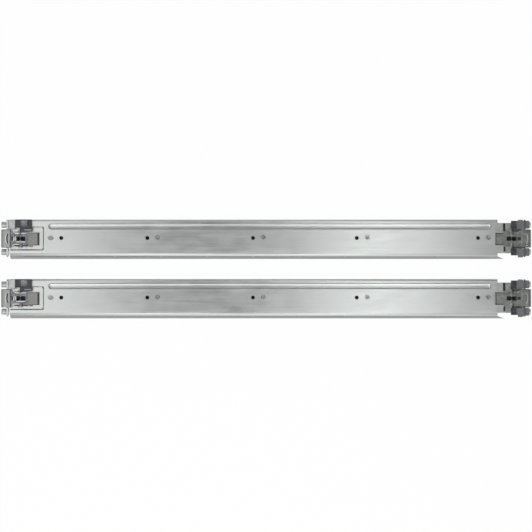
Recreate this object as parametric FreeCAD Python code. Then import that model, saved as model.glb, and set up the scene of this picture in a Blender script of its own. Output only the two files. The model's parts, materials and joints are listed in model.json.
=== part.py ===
import FreeCAD, Part
import math
import os

# Sliding rail pair for a 19 inch rack.  Millimetres, +Z up, +X to the rear of the rack.
# Both rails lie with the outer web up and the server side down, z = 0 on the table.
# Each rail: a pressed outer rail, a three-member ball slide inside it, a hooked bracket
# in front, and a depth arm with a second hooked bracket at the rear.

Vector = FreeCAD.Vector

# ---- the pair -------------------------------------------------------------------------
rail_names = ("upper", "lower")
rail_pitch = 69.3            # centre to centre of the two rails as they lie

# ---- rack interface -------------------------------------------------------------------
post_plane = 301.4           # |x| of both end flanges where they meet the rack posts
pin_spacing = 31.75          # two of the three holes of one rack unit
pin_r = 3.6                  # round tip of a front pin
rear_pin_r = 3.4             # round tip of a rear pin, which keeps the square collar on
spigot_r = 3.0               # thinner part of a pin, in its flange, block and collar
front_pin_reach = 6.2        # pin tip beyond the front post plane
rear_pin_reach = 6.3         # pin tip beyond the rear post plane
collar_width = 9.3           # square collar for 9.5 mm square holes
collar_length = 4.5          # collar beyond the rear post plane
pin_chamfer = 0.6

# ---- sheet stocks and running clearances ------------------------------------------------
web_stock = 1.2              # outer rail sheet
slide_stock = 1.2            # sheet of the three slide members
arm_stock = 1.2              # depth arm sheet
bracket_stock = 1.8          # end brackets
cage_stock = 0.4             # ball cages
slack = 0.3                  # clearance between faces that slide past each other
fit = 0.05                   # clearance of a riveted or pressed joint

# ---- outer rail -------------------------------------------------------------------------
web_front_gap = 3.7          # front edge of the web behind the front post plane
web_rear_gap = 32.1          # rear edge of the web ahead of the rear post plane
rail_half_height = 22.0
top_bend = 2.0               # outer radius of the upper bend
lower_bend = 4.6             # outer radius of the lower bend
flare = 2.0                  # how far the lower flange spreads below the web edge
flare_height = 6.0           # height over which it spreads
lip_overrun = 7.5            # lower lip beyond the rear end of the web
groove_front_inset = 44.5    # ends of the long groove inside the ends of the web
groove_rear_inset = 7.0
groove_y = 13.7
groove_width = 6.8
groove_depth = 1.0
press_slope = 0.9            # sideways run of a pressed wall
pocket_length = 39.5
pocket_top = 13.8
pocket_bottom = -14.1
pocket_slope = 1.4
pocket_corner = 2.0
hole_front_inset = 59.6      # first and last hole inside the ends of the web
hole_rear_inset = 22.7
middle_hole_xs = (-138.0, -15.1, 105.6)
hole_y = 0.5
hole_r = 2.3

# ---- ball slide ---------------------------------------------------------------------------
ball_r = 2.0
race_gap = 0.25              # race radius less ball radius
member_gap = 0.45            # outer member to the flanges of the outer rail
row_step = 3.8               # height between outer and inner ball rows
member_bend = 0.8            # centreline radius of the small bends
middle_wrap = 3.0            # degrees the middle member stops short of the outer ball's waist
middle_window_xs = (-200.0, -40.0, 120.0)
window_length = 40.0
window_half = 5.0
inner_web_clear = 0.4        # server face of the inner member above the table
slide_front_inset = 41.7     # ends of the outer member inside the ends of the web
slide_rear_inset = 7.3
middle_front_inset = 0.5     # ends of the middle member inside the outer one, when closed
middle_rear_inset = 6.5
inner_front_overrun = 6.0    # inner member ahead of the outer one, when closed
inner_rear_inset = 7.0
cage_front = -118.0
cage_rear = 118.0
cage_foot = 0.28             # cage leg below the balls
balls_per_row = 4
ball_inset = 14.0            # first ball from the end of its cage
screw_spacing = 150.0
screw_front_inset = 37.0     # first screw hole inside the end of the inner member
screw_rear_inset = 20.0      # room kept behind the last screw hole
screw_r = 2.25

# ---- rivets between the outer rail and the slide -------------------------------------------
rivet_front_inset = 46.7     # first and last rivet inside the ends of the web
rivet_rear_inset = 11.0
middle_rivet_xs = (-126.3, -3.3, 117.8)
rivet_y = 1.0
rivet_r = 2.0
rivet_head_r = 2.9
rivet_head_height = 0.7
oval_head_length = 7.3
shoulder_r = 3.2
bracket_rivet_r = 1.6
bracket_rivet_ys = (-7.0, 5.5)

# ---- depth arm ------------------------------------------------------------------------------
arm_length = 403.4
arm_rear_gap = 3.0           # rear edge of the arm ahead of the rear post plane
arm_slot_gap = 0.7           # end of the arm's slot to the shoulder of the last rivet
arm_top_inset = 4.0          # arm edges inside the edges of the outer rail
arm_bottom_inset = 4.7
arm_corner = 2.5

# ---- hooks and brackets, u is the distance from the middle of the rack, toward the post ----------
plate_length = 22.9          # bracket plate, from its inner end to the post plane
pivot_back = 15.9            # hook axle behind the post plane
pivot_above_web = 0.8
window_back = 10.8           # end of the bracket plate window behind the post plane
flange_height = 9.6          # top of the flange above the underside of the plate
flange_margin = 2.125        # end flange beyond the round pins
flange_corner = 2.0
notch_rise = 2.8             # floor of the flange notch above the underside of the plate
pin_rise = 4.0               # pin centre above the underside of the plate
ear_stock = 1.3
ear_half_length = 2.6
axle_r = 1.25
axle_head_r = 1.45
axle_head = 0.5
hook_bore_gap = 0.2
hook_swing = 14.0            # degrees, tongue pressed in and claw lifted
side_gap = 0.4               # hook to ear, and hook to flange notch
body_top = 7.6
body_bottom = -9.2
head_top = 10.4
head_overlap = 3.0           # hood over the inside of the end flange
head_flare = 5.0             # run over which the hook body widens to the hood
head_lift = 0.5              # underside of the hood above the pivot
claw_edge = 1.2              # broken edges of the claw
front_head_bottom = -11.0
rear_head_bottom = -10.7
front_tongue_back = 37.4     # tip of the front tongue behind the post plane
rear_tongue_back = 34.2
tongue_top = 6.1
tongue_bottom = -7.5
tongue_stock = 1.5
tongue_taper = 5.0           # run over which the tongue narrows to its end
tongue_top_taper = 0.4
tongue_bottom_taper = 0.6
tongue_drop = 1.35           # underside of the tongue below the pivot
tongue_gap = 0.9             # tongue to the edge of its window
body_back = 24.4             # inner end of the hook body behind the post plane
body_drop = 1.05             # underside of the hook body below the pivot
body_rise = 0.95             # top of the hook body above the pivot
barrel_r = 2.7
throat = 3.0                 # room for the post sheet between flange and claw
claw_stock = 3.8
claw_drop = 4.7              # claw tip below the pivot
head_rise = 3.3              # top of the head above the pivot
rib_rise = 2.4               # top of the central rib above the pivot
rib_step = 3.2               # rib edge inside the edge of the hook body
rib_head_step = 1.2          # and inside the edge of the hood
rib_margin = 1.5             # rib beyond the end of the spring slot
slot_radius = 16.0           # curved slot through the front hood
slot_width = 1.4
slot_half_length = 5.5
slot_beyond_post = 0.4
slot_wrap = 6.0
spring_wire_r = 0.35
spring_coil_r = 2.1
spring_turns = 4.5
spring_facets = 12           # straight stretches in one turn of the wire
spring_slot_half = 2.5
spring_slot_y = -0.4
spring_slot_back = 21.7      # far end of the spring slot behind the post plane
spring_slot_length = 12.8

# ---- pin blocks and guard ----------------------------------------------------------------------------
front_block_length = 8.3
rear_block_length = 14.7
block_rise = 9.2             # top of a pin block above the underside of the bracket plate
upper_block_wall = 1.375     # metal between a pin and the inner face of its block
lower_block_wall = 0.775
lower_block_overrun = 0.2    # lower block beyond the edge of the outer rail
rear_step_length = 8.0       # lower step at the inner end of a rear block
rear_step_drop = 2.2
upper_step_inset = 1.2
lower_step_inset = 2.4
rear_block_chamfer = 2.0
pin_seat = 6.0               # pin shank inside its block
lower_pin_head_r = 4.0
lower_pin_head = 1.2
guard_length = 19.2
guard_low = 12.3             # lower edge of the guard body
guard_height = 4.9
guard_band_low = 7.9
guard_band_gap = 5.3         # band behind the front pin block
guard_wall = 1.1
guard_shoulder = 5.4         # solid part of the guard before its window
guard_window_corner = 0.8
guard_pad_rise = 0.6
guard_band_overrun = 0.8
guard_overlap = 0.5

# ---- release lever of the inner member ----------------------------------------------------------------
lever_pivot_x = -30.0
lever_stock = 1.0
lever_shoulder_r = 2.0
lever_head_r = 3.4
lever_tab_x = -2.0
lever_tab_half = 2.0
lever_nose_reach = 34.0      # end of the catch nose, from the pivot
lever_nose_length = 6.0
lever_nose_rise = 5.0
lever_nose_run = 4.0         # slope behind the nose
lever_neck_top = 2.2
lever_neck_bottom = 2.0
lever_boss_half = 3.6        # half width round the pivot
lever_boss_reach = 8.0
lever_boss_rear = 6.0
lever_end_half = 2.4
lever_head_height = 0.7
stop_inset = 1.65            # edges of the slide stop inside the inner ball rows
stop_end_gap = 0.2
lever_swing = 7.0            # degrees

# ---- derived stations along the rail -----------------------------------------------------------
flange_inner = post_plane - bracket_stock
web_front = -post_plane + web_front_gap
web_rear = post_plane - web_rear_gap
pocket_rear = web_front + pocket_length
groove_front = web_front + groove_front_inset
groove_rear = web_rear - groove_rear_inset
hole_xs = (web_front + hole_front_inset,) + middle_hole_xs + (web_rear - hole_rear_inset,)
rivet_xs = (web_front + rivet_front_inset,) + middle_rivet_xs + (web_rear - rivet_rear_inset,)
outer_member_front = web_front + slide_front_inset
outer_member_rear = web_rear - slide_rear_inset
middle_front = outer_member_front + middle_front_inset
middle_rear = outer_member_rear - middle_rear_inset
inner_front = outer_member_front - inner_front_overrun
inner_rear = outer_member_rear - inner_rear_inset
first_screw_x = inner_front + screw_front_inset
screw_count = int((inner_rear - screw_rear_inset - first_screw_x) / screw_spacing) + 1
arm_rear = post_plane - arm_rear_gap
arm_front = arm_rear - arm_length
arm_slot_rear = rivet_xs[-1] + shoulder_r + arm_slot_gap
plate_start = post_plane - plate_length
pivot_u = post_plane - pivot_back
window_end = post_plane - window_back
front_tongue_end = post_plane - front_tongue_back
rear_tongue_end = post_plane - rear_tongue_back
body_end = post_plane - body_back
spring_slot_start = post_plane - spring_slot_back
spring_slot_end = spring_slot_start + spring_slot_length
front_block_start = flange_inner - front_block_length
rear_block_start = flange_inner - rear_block_length
guard_end = front_block_start - guard_length
guard_band_start = front_block_start - guard_band_gap

# ---- derived heights ---------------------------------------------------------------------------
race_r = ball_r + race_gap
row_half_height = rail_half_height - web_stock - member_gap - slide_stock - race_r
path_r = race_r + slide_stock / 2
row_gap = 2 * race_r + slide_stock
inner_row_half_height = row_half_height - math.sqrt(row_gap ** 2 - row_step ** 2)
inner_wrap = 35.0            # degrees the inner member wraps below the inner balls
stop_half_height = inner_row_half_height - stop_inset
inner_turn = 90.0 + inner_wrap
inner_run = member_bend * math.tan(math.radians(inner_turn / 2))
inner_web_z = inner_web_clear + slide_stock / 2
inner_row_z = (inner_web_z + inner_run * math.cos(math.radians(inner_wrap))
               + path_r * math.sin(math.radians(inner_wrap)))
outer_row_z = inner_row_z + row_step
outer_member_top = outer_row_z + race_r + slide_stock
arm_z = outer_member_top + slack
arm_top_z = arm_z + arm_stock
web_inner_z = arm_top_z + slack + groove_depth
web_top = web_inner_z + web_stock
pocket_depth = web_top - arm_top_z
pivot_z = web_top + pivot_above_web
plate_top_z = arm_top_z + bracket_stock
pin_z = arm_top_z + pin_rise
pin_y = pin_spacing / 2
flange_top_z = arm_top_z + flange_height
flange_half_height = pin_y + pin_r + flange_margin
upper_block = (pin_y - pin_r - upper_block_wall, flange_half_height)
lower_block = (-rail_half_height - lower_block_overrun, -pin_y + rear_pin_r + lower_block_wall)
arm_top = rail_half_height - arm_top_inset
arm_bottom = -rail_half_height + arm_bottom_inset


# ---- shape helpers --------------------------------------------------------------------------------
def box(x0, x1, y0, y1, z0, z1):
    """A block between two corners."""
    return Part.makeBox(x1 - x0, y1 - y0, z1 - z0, Vector(x0, y0, z0))


def rod(start, axis, radius, length):
    """A round bar from a start point along an axis."""
    return Part.makeCylinder(radius, length, start, axis)


def cone(start, axis, r0, r1, length):
    """A tapered round bar."""
    return Part.makeCone(r0, r1, length, start, axis)


def plate(points, z0, z1):
    """A flat piece with straight edges, from its plan outline."""
    corners = [Vector(x, y, z0) for x, y in points]
    face = Part.Face(Part.makePolygon(corners + corners[:1]))
    return face.extrude(Vector(0, 0, z1 - z0))


def side_profile(points, y0, y1):
    """A piece with a constant section in the XZ plane, from y0 to y1."""
    corners = [Vector(x, y0, z) for x, z in points]
    face = Part.Face(Part.makePolygon(corners + corners[:1]))
    return face.extrude(Vector(0, y1 - y0, 0))


def rounded_outline(x0, x1, y0, y1, radius, z):
    """A closed wire round a rectangle whose corners have the given radius."""
    radius = min(radius, (x1 - x0) / 2 - 0.01, (y1 - y0) / 2 - 0.01)
    centres = ((x1 - radius, y0 + radius, -90), (x1 - radius, y1 - radius, 0),
               (x0 + radius, y1 - radius, 90), (x0 + radius, y0 + radius, 180))
    edges = []
    ends = []
    for cx, cy, start in centres:
        spots = [Vector(cx + radius * math.cos(math.radians(start + turn)),
                        cy + radius * math.sin(math.radians(start + turn)), z)
                 for turn in (0, 45, 90)]
        ends.append((spots[0], spots[2]))
        edges.append(Part.Arc(*spots).toShape())
    for index in range(4):
        a = ends[index][1]
        b = ends[(index + 1) % 4][0]
        edges.insert(2 * index + 1, Part.LineSegment(a, b).toShape())
    return Part.Wire(edges)


def rounded_plate(x0, x1, y0, y1, radius, z0, z1):
    """A flat plate with rounded corners."""
    return Part.Face(rounded_outline(x0, x1, y0, y1, radius, z0)).extrude(Vector(0, 0, z1 - z0))


def pressing(x0, x1, y0, y1, radius, depth, slope):
    """Metal to add below the outer web, and the hollow to take out, for a pressed recess."""
    low = web_top - depth
    hollow = Part.makeLoft([rounded_outline(x0, x1, y0, y1, radius, web_top),
                            rounded_outline(x0 + slope, x1 - slope, y0 + slope, y1 - slope,
                                            radius, low)], True, True)
    wall = web_stock * 0.75
    out = wall - slope
    metal = Part.makeLoft([rounded_outline(x0 - wall, x1 + wall, y0 - wall, y1 + wall,
                                           radius + wall, web_inner_z + fit),
                           rounded_outline(x0 - out, x1 + out, y0 - out, y1 + out,
                                           radius + wall, low - web_stock)], True, True)
    return metal, hollow


# ---- roll-formed sections ------------------------------------------------------------------------------
# A section is a path along the middle of the sheet in the YZ plane.  It is a list of arcs
# (centre_y, centre_z, radius, start, end) in degrees, joined by straight runs, and may
# begin and end with a plain (y, z) point.  A growing angle turns left.
def bend(corner, radius, heading_in, heading_out):
    """The arc that rounds a corner of a path, from its two headings."""
    turn = (heading_out - heading_in + 180) % 360 - 180
    side = 1 if turn > 0 else -1
    run = radius * math.tan(math.radians(abs(turn) / 2))
    along = math.radians(heading_in)
    start_y = corner[0] - run * math.cos(along)
    start_z = corner[1] - run * math.sin(along)
    centre_y = start_y - side * radius * math.sin(along)
    centre_z = start_z + side * radius * math.cos(along)
    start = heading_in - 90 * side
    return (centre_y, centre_z, radius, start, start + turn)


def mirrored(path):
    """The half path followed by its mirror image, back to the matching end."""
    other = []
    for piece in reversed(path):
        if len(piece) == 2:
            other.append((-piece[0], piece[1]))
        else:
            cy, cz, radius, start, end = piece
            other.append((-cy, cz, radius, 180 - end, 180 - start))
    return path + other


def on_arc(arc, angle, offset):
    """A point beside an arc, offset to the left of travel."""
    cy, cz, radius, start, end = arc
    side = 1 if end > start else -1
    reach = radius - side * offset
    return Vector(0, cy + reach * math.cos(math.radians(angle)),
                  cz + reach * math.sin(math.radians(angle)))


def side_points(path, offset):
    """Runs of points along one face of the sheet: pairs for straights, triples for arcs."""
    arcs = [piece for piece in path if len(piece) == 5]
    spots = []
    for arc in arcs:
        middle = (arc[3] + arc[4]) / 2
        spots.append([on_arc(arc, angle, offset) for angle in (arc[3], middle, arc[4])])
    if len(path[0]) == 2:
        first = arcs[0]
        shift = spots[0][0] - on_arc(first, first[3], 0)
        spots.insert(0, [Vector(0, *path[0]) + shift])
    if len(path[-1]) == 2:
        last = arcs[-1]
        shift = spots[-1][-1] - on_arc(last, last[4], 0)
        spots.append([Vector(0, *path[-1]) + shift])
    return spots


def side_edges(spots):
    """Edges through the runs of side_points."""
    edges = []
    for index, run in enumerate(spots):
        if index and (spots[index - 1][-1] - run[0]).Length > 1e-4:
            edges.append(Part.LineSegment(spots[index - 1][-1], run[0]).toShape())
        if len(run) == 3:
            edges.append(Part.Arc(*run).toShape())
    return edges


def roll_formed(path, stock, x0, x1):
    """A sheet of constant section between two stations of the rail."""
    left = side_points(path, stock / 2)
    right = side_points(path, -stock / 2)
    edges = side_edges(left) + side_edges(right)
    edges.append(Part.LineSegment(left[0][0], right[0][0]).toShape())
    edges.append(Part.LineSegment(left[-1][-1], right[-1][-1]).toShape())
    face = Part.Face(Part.Wire(Part.__sortEdges__(edges)))
    face.translate(Vector(x0, 0, 0))
    return face.extrude(Vector(x1 - x0, 0, 0))


# ---- outer rail -------------------------------------------------------------------------------------------
def outer_rail():
    """The pressed rail body: web, two flanges, front pocket, long groove and holes."""
    lean = math.degrees(math.atan(flare / flare_height))
    mid = rail_half_height - web_stock / 2
    web_z = web_top - web_stock / 2
    foot = web_stock / 2 * math.sin(math.radians(lean))
    spread = (flare_height - foot) * math.tan(math.radians(lean))
    path = [(mid, 0.0),
            bend((mid, web_z), top_bend - web_stock / 2, 90, 180),
            bend((-mid, web_z), lower_bend - web_stock / 2, 180, 270),
            bend((-mid, flare_height), 2 * web_stock, 270, 270 - lean),
            (-mid - spread, foot)]
    lip_end = web_rear + lip_overrun
    body = roll_formed(path, web_stock, web_front, lip_end)
    above_lip = plate([(web_rear, -rail_half_height + web_stock), (lip_end + 1, -rail_half_height - flare),
                       (lip_end + 1, 2 * rail_half_height), (web_rear, 2 * rail_half_height)],
                      -1, web_top + 1)
    pocket_metal, pocket = pressing(web_front - 3 * pocket_depth, pocket_rear, pocket_bottom, pocket_top,
                                    pocket_corner, pocket_depth, pocket_slope)
    pocket_metal = pocket_metal.common(box(web_front, 0, -rail_half_height, rail_half_height,
                                           0, web_top))
    half = groove_width / 2
    groove_metal, groove = pressing(groove_front, groove_rear, groove_y - half, groove_y + half,
                                    half, groove_depth, press_slope)
    body = body.cut(above_lip).fuse([pocket_metal, groove_metal])
    cuts = [pocket, groove, pin_block_corner(), tongue_window(front_tongue_end, -1), rear_notch()]
    up = Vector(0, 0, 1)
    cuts += [rod(Vector(x, hole_y, web_inner_z - 1), up, hole_r, web_stock + 2) for x in hole_xs]
    cuts += [rod(Vector(x, rivet_y, web_inner_z - 1), up, rivet_r + fit, web_stock + 2)
             for x in rivet_xs]
    cuts += [to_front(hole) for hole in bracket_rivet_holes()]
    return body.cut(cuts).removeSplitter()


def pin_block_corner():
    """The corner of the web and upper flange cut away for the front pin block."""
    return box(web_front - 1, -front_block_start + slack, upper_block[0] - slack,
               rail_half_height + 1, arm_top_z, web_top + 1)


def tongue_window(tongue_end, side):
    """The opening under a hook tongue, for its travel when it is pressed."""
    swing = math.radians(hook_swing)
    reach = (pivot_z - arm_top_z - tongue_drop * math.cos(swing)) / math.sin(swing)
    far = pivot_u - reach + tongue_gap
    near = tongue_end - tongue_gap
    x0, x1 = sorted((side * near, side * far))
    return rounded_plate(x0, x1, tongue_bottom - tongue_gap, tongue_top + tongue_gap, 1.0,
                         arm_z - 1, arm_top_z + 1)


def rear_notch():
    """The notch in the rear edge of the web, in which the rear tongue dips."""
    return rounded_plate(rear_tongue_end - 2 * tongue_gap, web_rear + 5, tongue_bottom - tongue_gap,
                         tongue_top + tongue_gap, 1.0, web_inner_z - 1, web_top + 1)


def slide_rivets():
    """Five shouldered rivets that hold the slide behind the web of the outer rail."""
    up = Vector(0, 0, 1)
    tail = outer_member_top - slide_stock
    rivets = []
    for x in rivet_xs:
        if x == rivet_xs[0]:
            reach = oval_head_length / 2
            head = rounded_plate(x - reach, x + reach, rivet_y - rivet_head_r * 0.9,
                                 rivet_y + rivet_head_r * 0.9, rivet_head_r * 0.9,
                                 web_top, web_top + rivet_head_height)
        else:
            step = rivet_head_height / 2
            head = rod(Vector(x, rivet_y, web_top), up, rivet_head_r, step)
            head = head.fuse(cone(Vector(x, rivet_y, web_top + step), up,
                                  rivet_head_r, rivet_head_r - step, step))
        shank = rod(Vector(x, rivet_y, tail), up, rivet_r, web_top - tail)
        shoulder = rod(Vector(x, rivet_y, outer_member_top), up, shoulder_r,
                       web_inner_z - outer_member_top)
        rivets.append(shank.fuse([shoulder, head]))
    return rivets


# ---- ball slide ----------------------------------------------------------------------------------------------
def outer_member():
    """The C-shaped member whose lips wrap the outer ball rows."""
    path = mirrored([(row_half_height, outer_row_z, path_r, -55, 90)])
    body = roll_formed(path, slide_stock, outer_member_front, outer_member_rear)
    up = Vector(0, 0, 1)
    low = outer_member_top - slide_stock - 1
    cuts = [rod(Vector(x, hole_y, low), up, hole_r, slide_stock + 2) for x in hole_xs]
    cuts += [rod(Vector(x, rivet_y, low), up, rivet_r + fit, slide_stock + 2) for x in rivet_xs]
    return body.cut(cuts)


def middle_web_z():
    """Height of the middle of the middle member's web."""
    wrap = math.radians(middle_wrap)
    run = member_bend * math.tan(math.radians(90 - middle_wrap) / 2)
    return outer_row_z - path_r * math.sin(wrap) + run * math.cos(wrap)


def middle_member():
    """The member between the ball rows: outer race above, inner race below."""
    contact = math.degrees(math.asin(row_step / row_gap))
    wrap = math.radians(middle_wrap)
    run = member_bend * math.tan(math.radians(90 - middle_wrap) / 2)
    corner = (row_half_height - path_r * math.cos(wrap) - run * math.sin(wrap), middle_web_z())
    path = [(inner_row_half_height, inner_row_z, path_r, -40, contact),
            (row_half_height, outer_row_z, path_r, 180 + contact, 180 + middle_wrap),
            bend(corner, member_bend, 90 + middle_wrap, 180)]
    body = roll_formed(mirrored(path), slide_stock, middle_front, middle_rear)
    low = middle_web_z() - slide_stock
    cuts = [rounded_plate(x - window_length / 2, x + window_length / 2, -window_half, window_half,
                          window_half, low, low + 2 * slide_stock) for x in middle_window_xs]
    return body.cut(cuts)


def inner_member():
    """The member that is screwed to the server, with its races outside."""
    top_wrap = 135.0
    end = math.radians(inner_wrap)
    corner = (inner_row_half_height - path_r * math.cos(end) + inner_run * math.sin(end), inner_web_z)
    path = [(inner_row_half_height, inner_row_z, path_r, top_wrap, 180 + inner_wrap),
            bend(corner, member_bend, 270 + inner_wrap, 180)]
    body = roll_formed(mirrored(path), slide_stock, inner_front, inner_rear)
    up = Vector(0, 0, 1)
    low = inner_web_clear - 1
    cuts = [rod(Vector(first_screw_x + index * screw_spacing, 0, low), up, screw_r, slide_stock + 2)
            for index in range(screw_count)]
    cuts.append(rod(Vector(lever_pivot_x, 0, low), up, lever_shoulder_r - 0.5 + fit, slide_stock + 2))
    cuts.append(lever_window())
    return body.cut(cuts)


def cage(half_height, row_z, top_z):
    """A pressed ball retainer: a flat web with a leg down through each ball row."""
    leg_end = row_z - ball_r - cage_foot
    path = mirrored([(half_height, leg_end),
                     bend((half_height, top_z), 2 * cage_stock, 90, 180)])
    body = roll_formed(path, cage_stock, cage_front, cage_rear)
    across = Vector(0, 1, 0)
    pockets = [rod(Vector(x, -half_height - ball_r, row_z), across, ball_r + race_gap / 2,
                   2 * half_height + 2 * ball_r) for x in ball_xs()]
    return body.cut(pockets)


def ball_xs():
    """Stations of the balls along a cage."""
    first = cage_front + ball_inset
    step = (cage_rear - cage_front - 2 * ball_inset) / (balls_per_row - 1)
    return [first + index * step for index in range(balls_per_row)]


def balls(half_height, row_z):
    """The balls of both rows of one cage."""
    return [Part.makeSphere(ball_r, Vector(x, y, row_z))
            for x in ball_xs() for y in (half_height, -half_height)]


def slide_stop():
    """The moulded stop that the middle member meets when the slide is closed."""
    return box(middle_rear + slack, outer_member_rear - stop_end_gap, -stop_half_height, stop_half_height,
               inner_web_clear + slide_stock, outer_member_top - slide_stock)


# ---- release lever ---------------------------------------------------------------------------------------------
def lever_window():
    """The window in the inner web through which the lever's tab is pressed."""
    travel = (lever_tab_x + lever_tab_half - lever_pivot_x) * math.sin(math.radians(lever_swing))
    gap = 2 * slack
    return rounded_plate(lever_tab_x - lever_tab_half - 1 - gap, lever_tab_x + lever_tab_half + gap,
                         -lever_tab_half - gap, lever_tab_half + travel + gap, 1.0,
                         inner_web_clear - 1, inner_web_clear + slide_stock + 1)


def release_lever():
    """The sheet lever that frees the inner member, with its bent tab and catch nose."""
    z0 = inner_web_clear + slide_stock + slack
    x = lever_pivot_x
    end = lever_tab_x + lever_tab_half
    nose = x - lever_nose_reach
    root = nose + lever_nose_length
    boss = lever_boss_half
    outline = [(nose, -lever_neck_bottom), (x - lever_boss_reach, -boss), (x + lever_boss_rear, -boss),
               (end, -lever_end_half), (end, lever_end_half), (x + lever_boss_rear, boss),
               (x - lever_boss_reach, boss), (root + lever_nose_run, lever_neck_top),
               (root, lever_nose_rise), (nose, lever_nose_rise)]
    arm = plate(outline, z0, z0 + lever_stock)
    tab = box(lever_tab_x - lever_tab_half, lever_tab_x + lever_tab_half, -lever_tab_half,
              lever_tab_half, inner_web_clear, z0 + lever_stock / 2)
    bore = rod(Vector(x, 0, z0 - 1), Vector(0, 0, 1), lever_shoulder_r + hook_bore_gap, lever_stock + 2)
    return arm.fuse(tab).cut(bore)


def lever_rivet():
    """The shouldered rivet that carries the release lever."""
    up = Vector(0, 0, 1)
    x = lever_pivot_x
    web = inner_web_clear + slide_stock
    top = web + lever_stock + 2 * slack
    tail = rod(Vector(x, 0, inner_web_clear), up, lever_shoulder_r - 0.5, slide_stock)
    shoulder = rod(Vector(x, 0, web), up, lever_shoulder_r, top - web)
    head = rod(Vector(x, 0, top), up, lever_head_r, lever_head_height)
    return shoulder.fuse([tail, head])


# ---- depth arm ----------------------------------------------------------------------------------------------------
def depth_arm():
    """The flat arm that slides behind the web, forked so that it clears the slide rivets."""
    body = rounded_plate(arm_front, arm_rear, arm_bottom, arm_top, arm_corner, arm_z, arm_top_z)
    half = shoulder_r + 2 * slack - 0.1
    slot = rounded_plate(2 * arm_front, arm_slot_rear, rivet_y - half, rivet_y + half, half,
                         arm_z - 1, arm_top_z + 1)
    return body.cut([slot, tongue_window(rear_tongue_end, 1)] + bracket_rivet_holes())


# ---- end brackets, built for the rear; the front one is mirrored ----------------------------------------------------
def bracket_rivet_spots():
    """Plan places of the two rivets under each hook."""
    return [((window_end + flange_inner) / 2, y) for y in bracket_rivet_ys]


def bracket_rivet_holes():
    """Holes for the bracket rivets through plate and carrier."""
    return [rod(Vector(x, y, arm_z - 1), Vector(0, 0, 1), bracket_rivet_r + fit,
                plate_top_z - arm_z + 2) for x, y in bracket_rivet_spots()]


def bracket_rivets(carrier_stock):
    """Two flush rivets that join a bracket to the sheet that carries it."""
    length = bracket_stock + carrier_stock
    return [rod(Vector(x, y, plate_top_z - length), Vector(0, 0, 1), bracket_rivet_r, length)
            for x, y in bracket_rivet_spots()]


def end_bracket(low, high, head_bottom):
    """Bracket plate with its bent end flange and the two ears of the hook axle."""
    base = box(plate_start, post_plane, low, high, arm_top_z, plate_top_z)
    corner = flange_corner
    half = flange_half_height
    top = flange_top_z
    outline = [(-half, arm_top_z), (half, arm_top_z), (half, top - corner), (half - corner, top),
               (-half + corner, top), (-half, top - corner)]
    corners = [Vector(flange_inner, y, z) for y, z in outline]
    flange = Part.Face(Part.makePolygon(corners + corners[:1])).extrude(Vector(bracket_stock, 0, 0))
    body = base.fuse(flange)
    window = box(plate_start - 1, window_end, body_bottom - side_gap, body_top + side_gap,
                 arm_top_z - 1, plate_top_z + 1)
    notch = box(flange_inner - 1, post_plane + 1, head_bottom - side_gap, head_top + side_gap,
                arm_top_z + notch_rise, top + 1)
    seats = [box(rear_block_start - slack, flange_inner, y0, y1, arm_top_z, plate_top_z)
             for y0, y1 in ((upper_block[0] - slack, rail_half_height),
                            (-rail_half_height, lower_block[1] + slack))]
    body = body.cut([window, notch] + seats)
    across = Vector(0, 1, 0)
    ears = []
    for y in (body_top + side_gap, body_bottom - side_gap - ear_stock):
        ear = box(pivot_u - ear_half_length, pivot_u + ear_half_length, y, y + ear_stock,
                  arm_top_z, pivot_z)
        ears.append(ear)
        ears.append(rod(Vector(pivot_u, y, pivot_z), across, ear_half_length, ear_stock))
    body = body.fuse(ears)
    bores = [rod(Vector(pivot_u, -rail_half_height, pivot_z), across, axle_r + fit,
                 2 * rail_half_height)]
    bores += [rod(Vector(flange_inner - 1, y, pin_z), Vector(1, 0, 0), spigot_r + fit, bracket_stock + 2)
              for y in (pin_y, -pin_y)]
    return body.cut(bores + bracket_rivet_holes())


def pin(y, start, shoulder, reach, radius):
    """One mounting pin: a spigot, then from its shoulder a wider tip with a chamfered end."""
    along = Vector(1, 0, 0)
    end = post_plane + reach - pin_chamfer
    spigot = rod(Vector(start, y, pin_z), along, spigot_r, shoulder - start)
    tip = rod(Vector(shoulder, y, pin_z), along, radius, end - shoulder)
    return spigot.fuse([tip, cone(Vector(end, y, pin_z), along, radius, radius - pin_chamfer,
                                  pin_chamfer)])


def front_pins():
    """Upper pin seated in its block, and lower pin headed behind the flange."""
    upper = pin(pin_y, flange_inner - pin_seat, post_plane, front_pin_reach, pin_r)
    lower = pin(-pin_y, flange_inner, post_plane, front_pin_reach, pin_r)
    head = rod(Vector(flange_inner - lower_pin_head, -pin_y, pin_z), Vector(1, 0, 0),
               lower_pin_head_r, lower_pin_head)
    return [upper, lower.fuse(head)]


def rear_pins():
    """Both rear pins, seated in their blocks."""
    return [pin(y, flange_inner - pin_seat, post_plane + collar_length, rear_pin_reach, rear_pin_r)
            for y in (pin_y, -pin_y)]


def collars():
    """Square collars on the rear pins, a fit for square rack holes."""
    half = collar_width / 2
    pieces = []
    for y in (pin_y, -pin_y):
        block = box(post_plane, post_plane + collar_length, y - half, y + half,
                    pin_z - half, pin_z + half)
        tip = [edge for edge in block.Edges
               if abs(edge.CenterOfMass.x - post_plane - collar_length) < fit]
        block = block.makeChamfer(pin_chamfer, tip)
        bore = rod(Vector(post_plane - 1, y, pin_z), Vector(1, 0, 0), spigot_r + fit,
                   collar_length + 2)
        pieces.append(block.cut(bore))
    return pieces


def pin_seat_bore(y):
    """The bore of a pin block."""
    return rod(Vector(flange_inner - pin_seat, y, pin_z), Vector(1, 0, 0), spigot_r + fit,
               pin_seat + 1)


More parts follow.
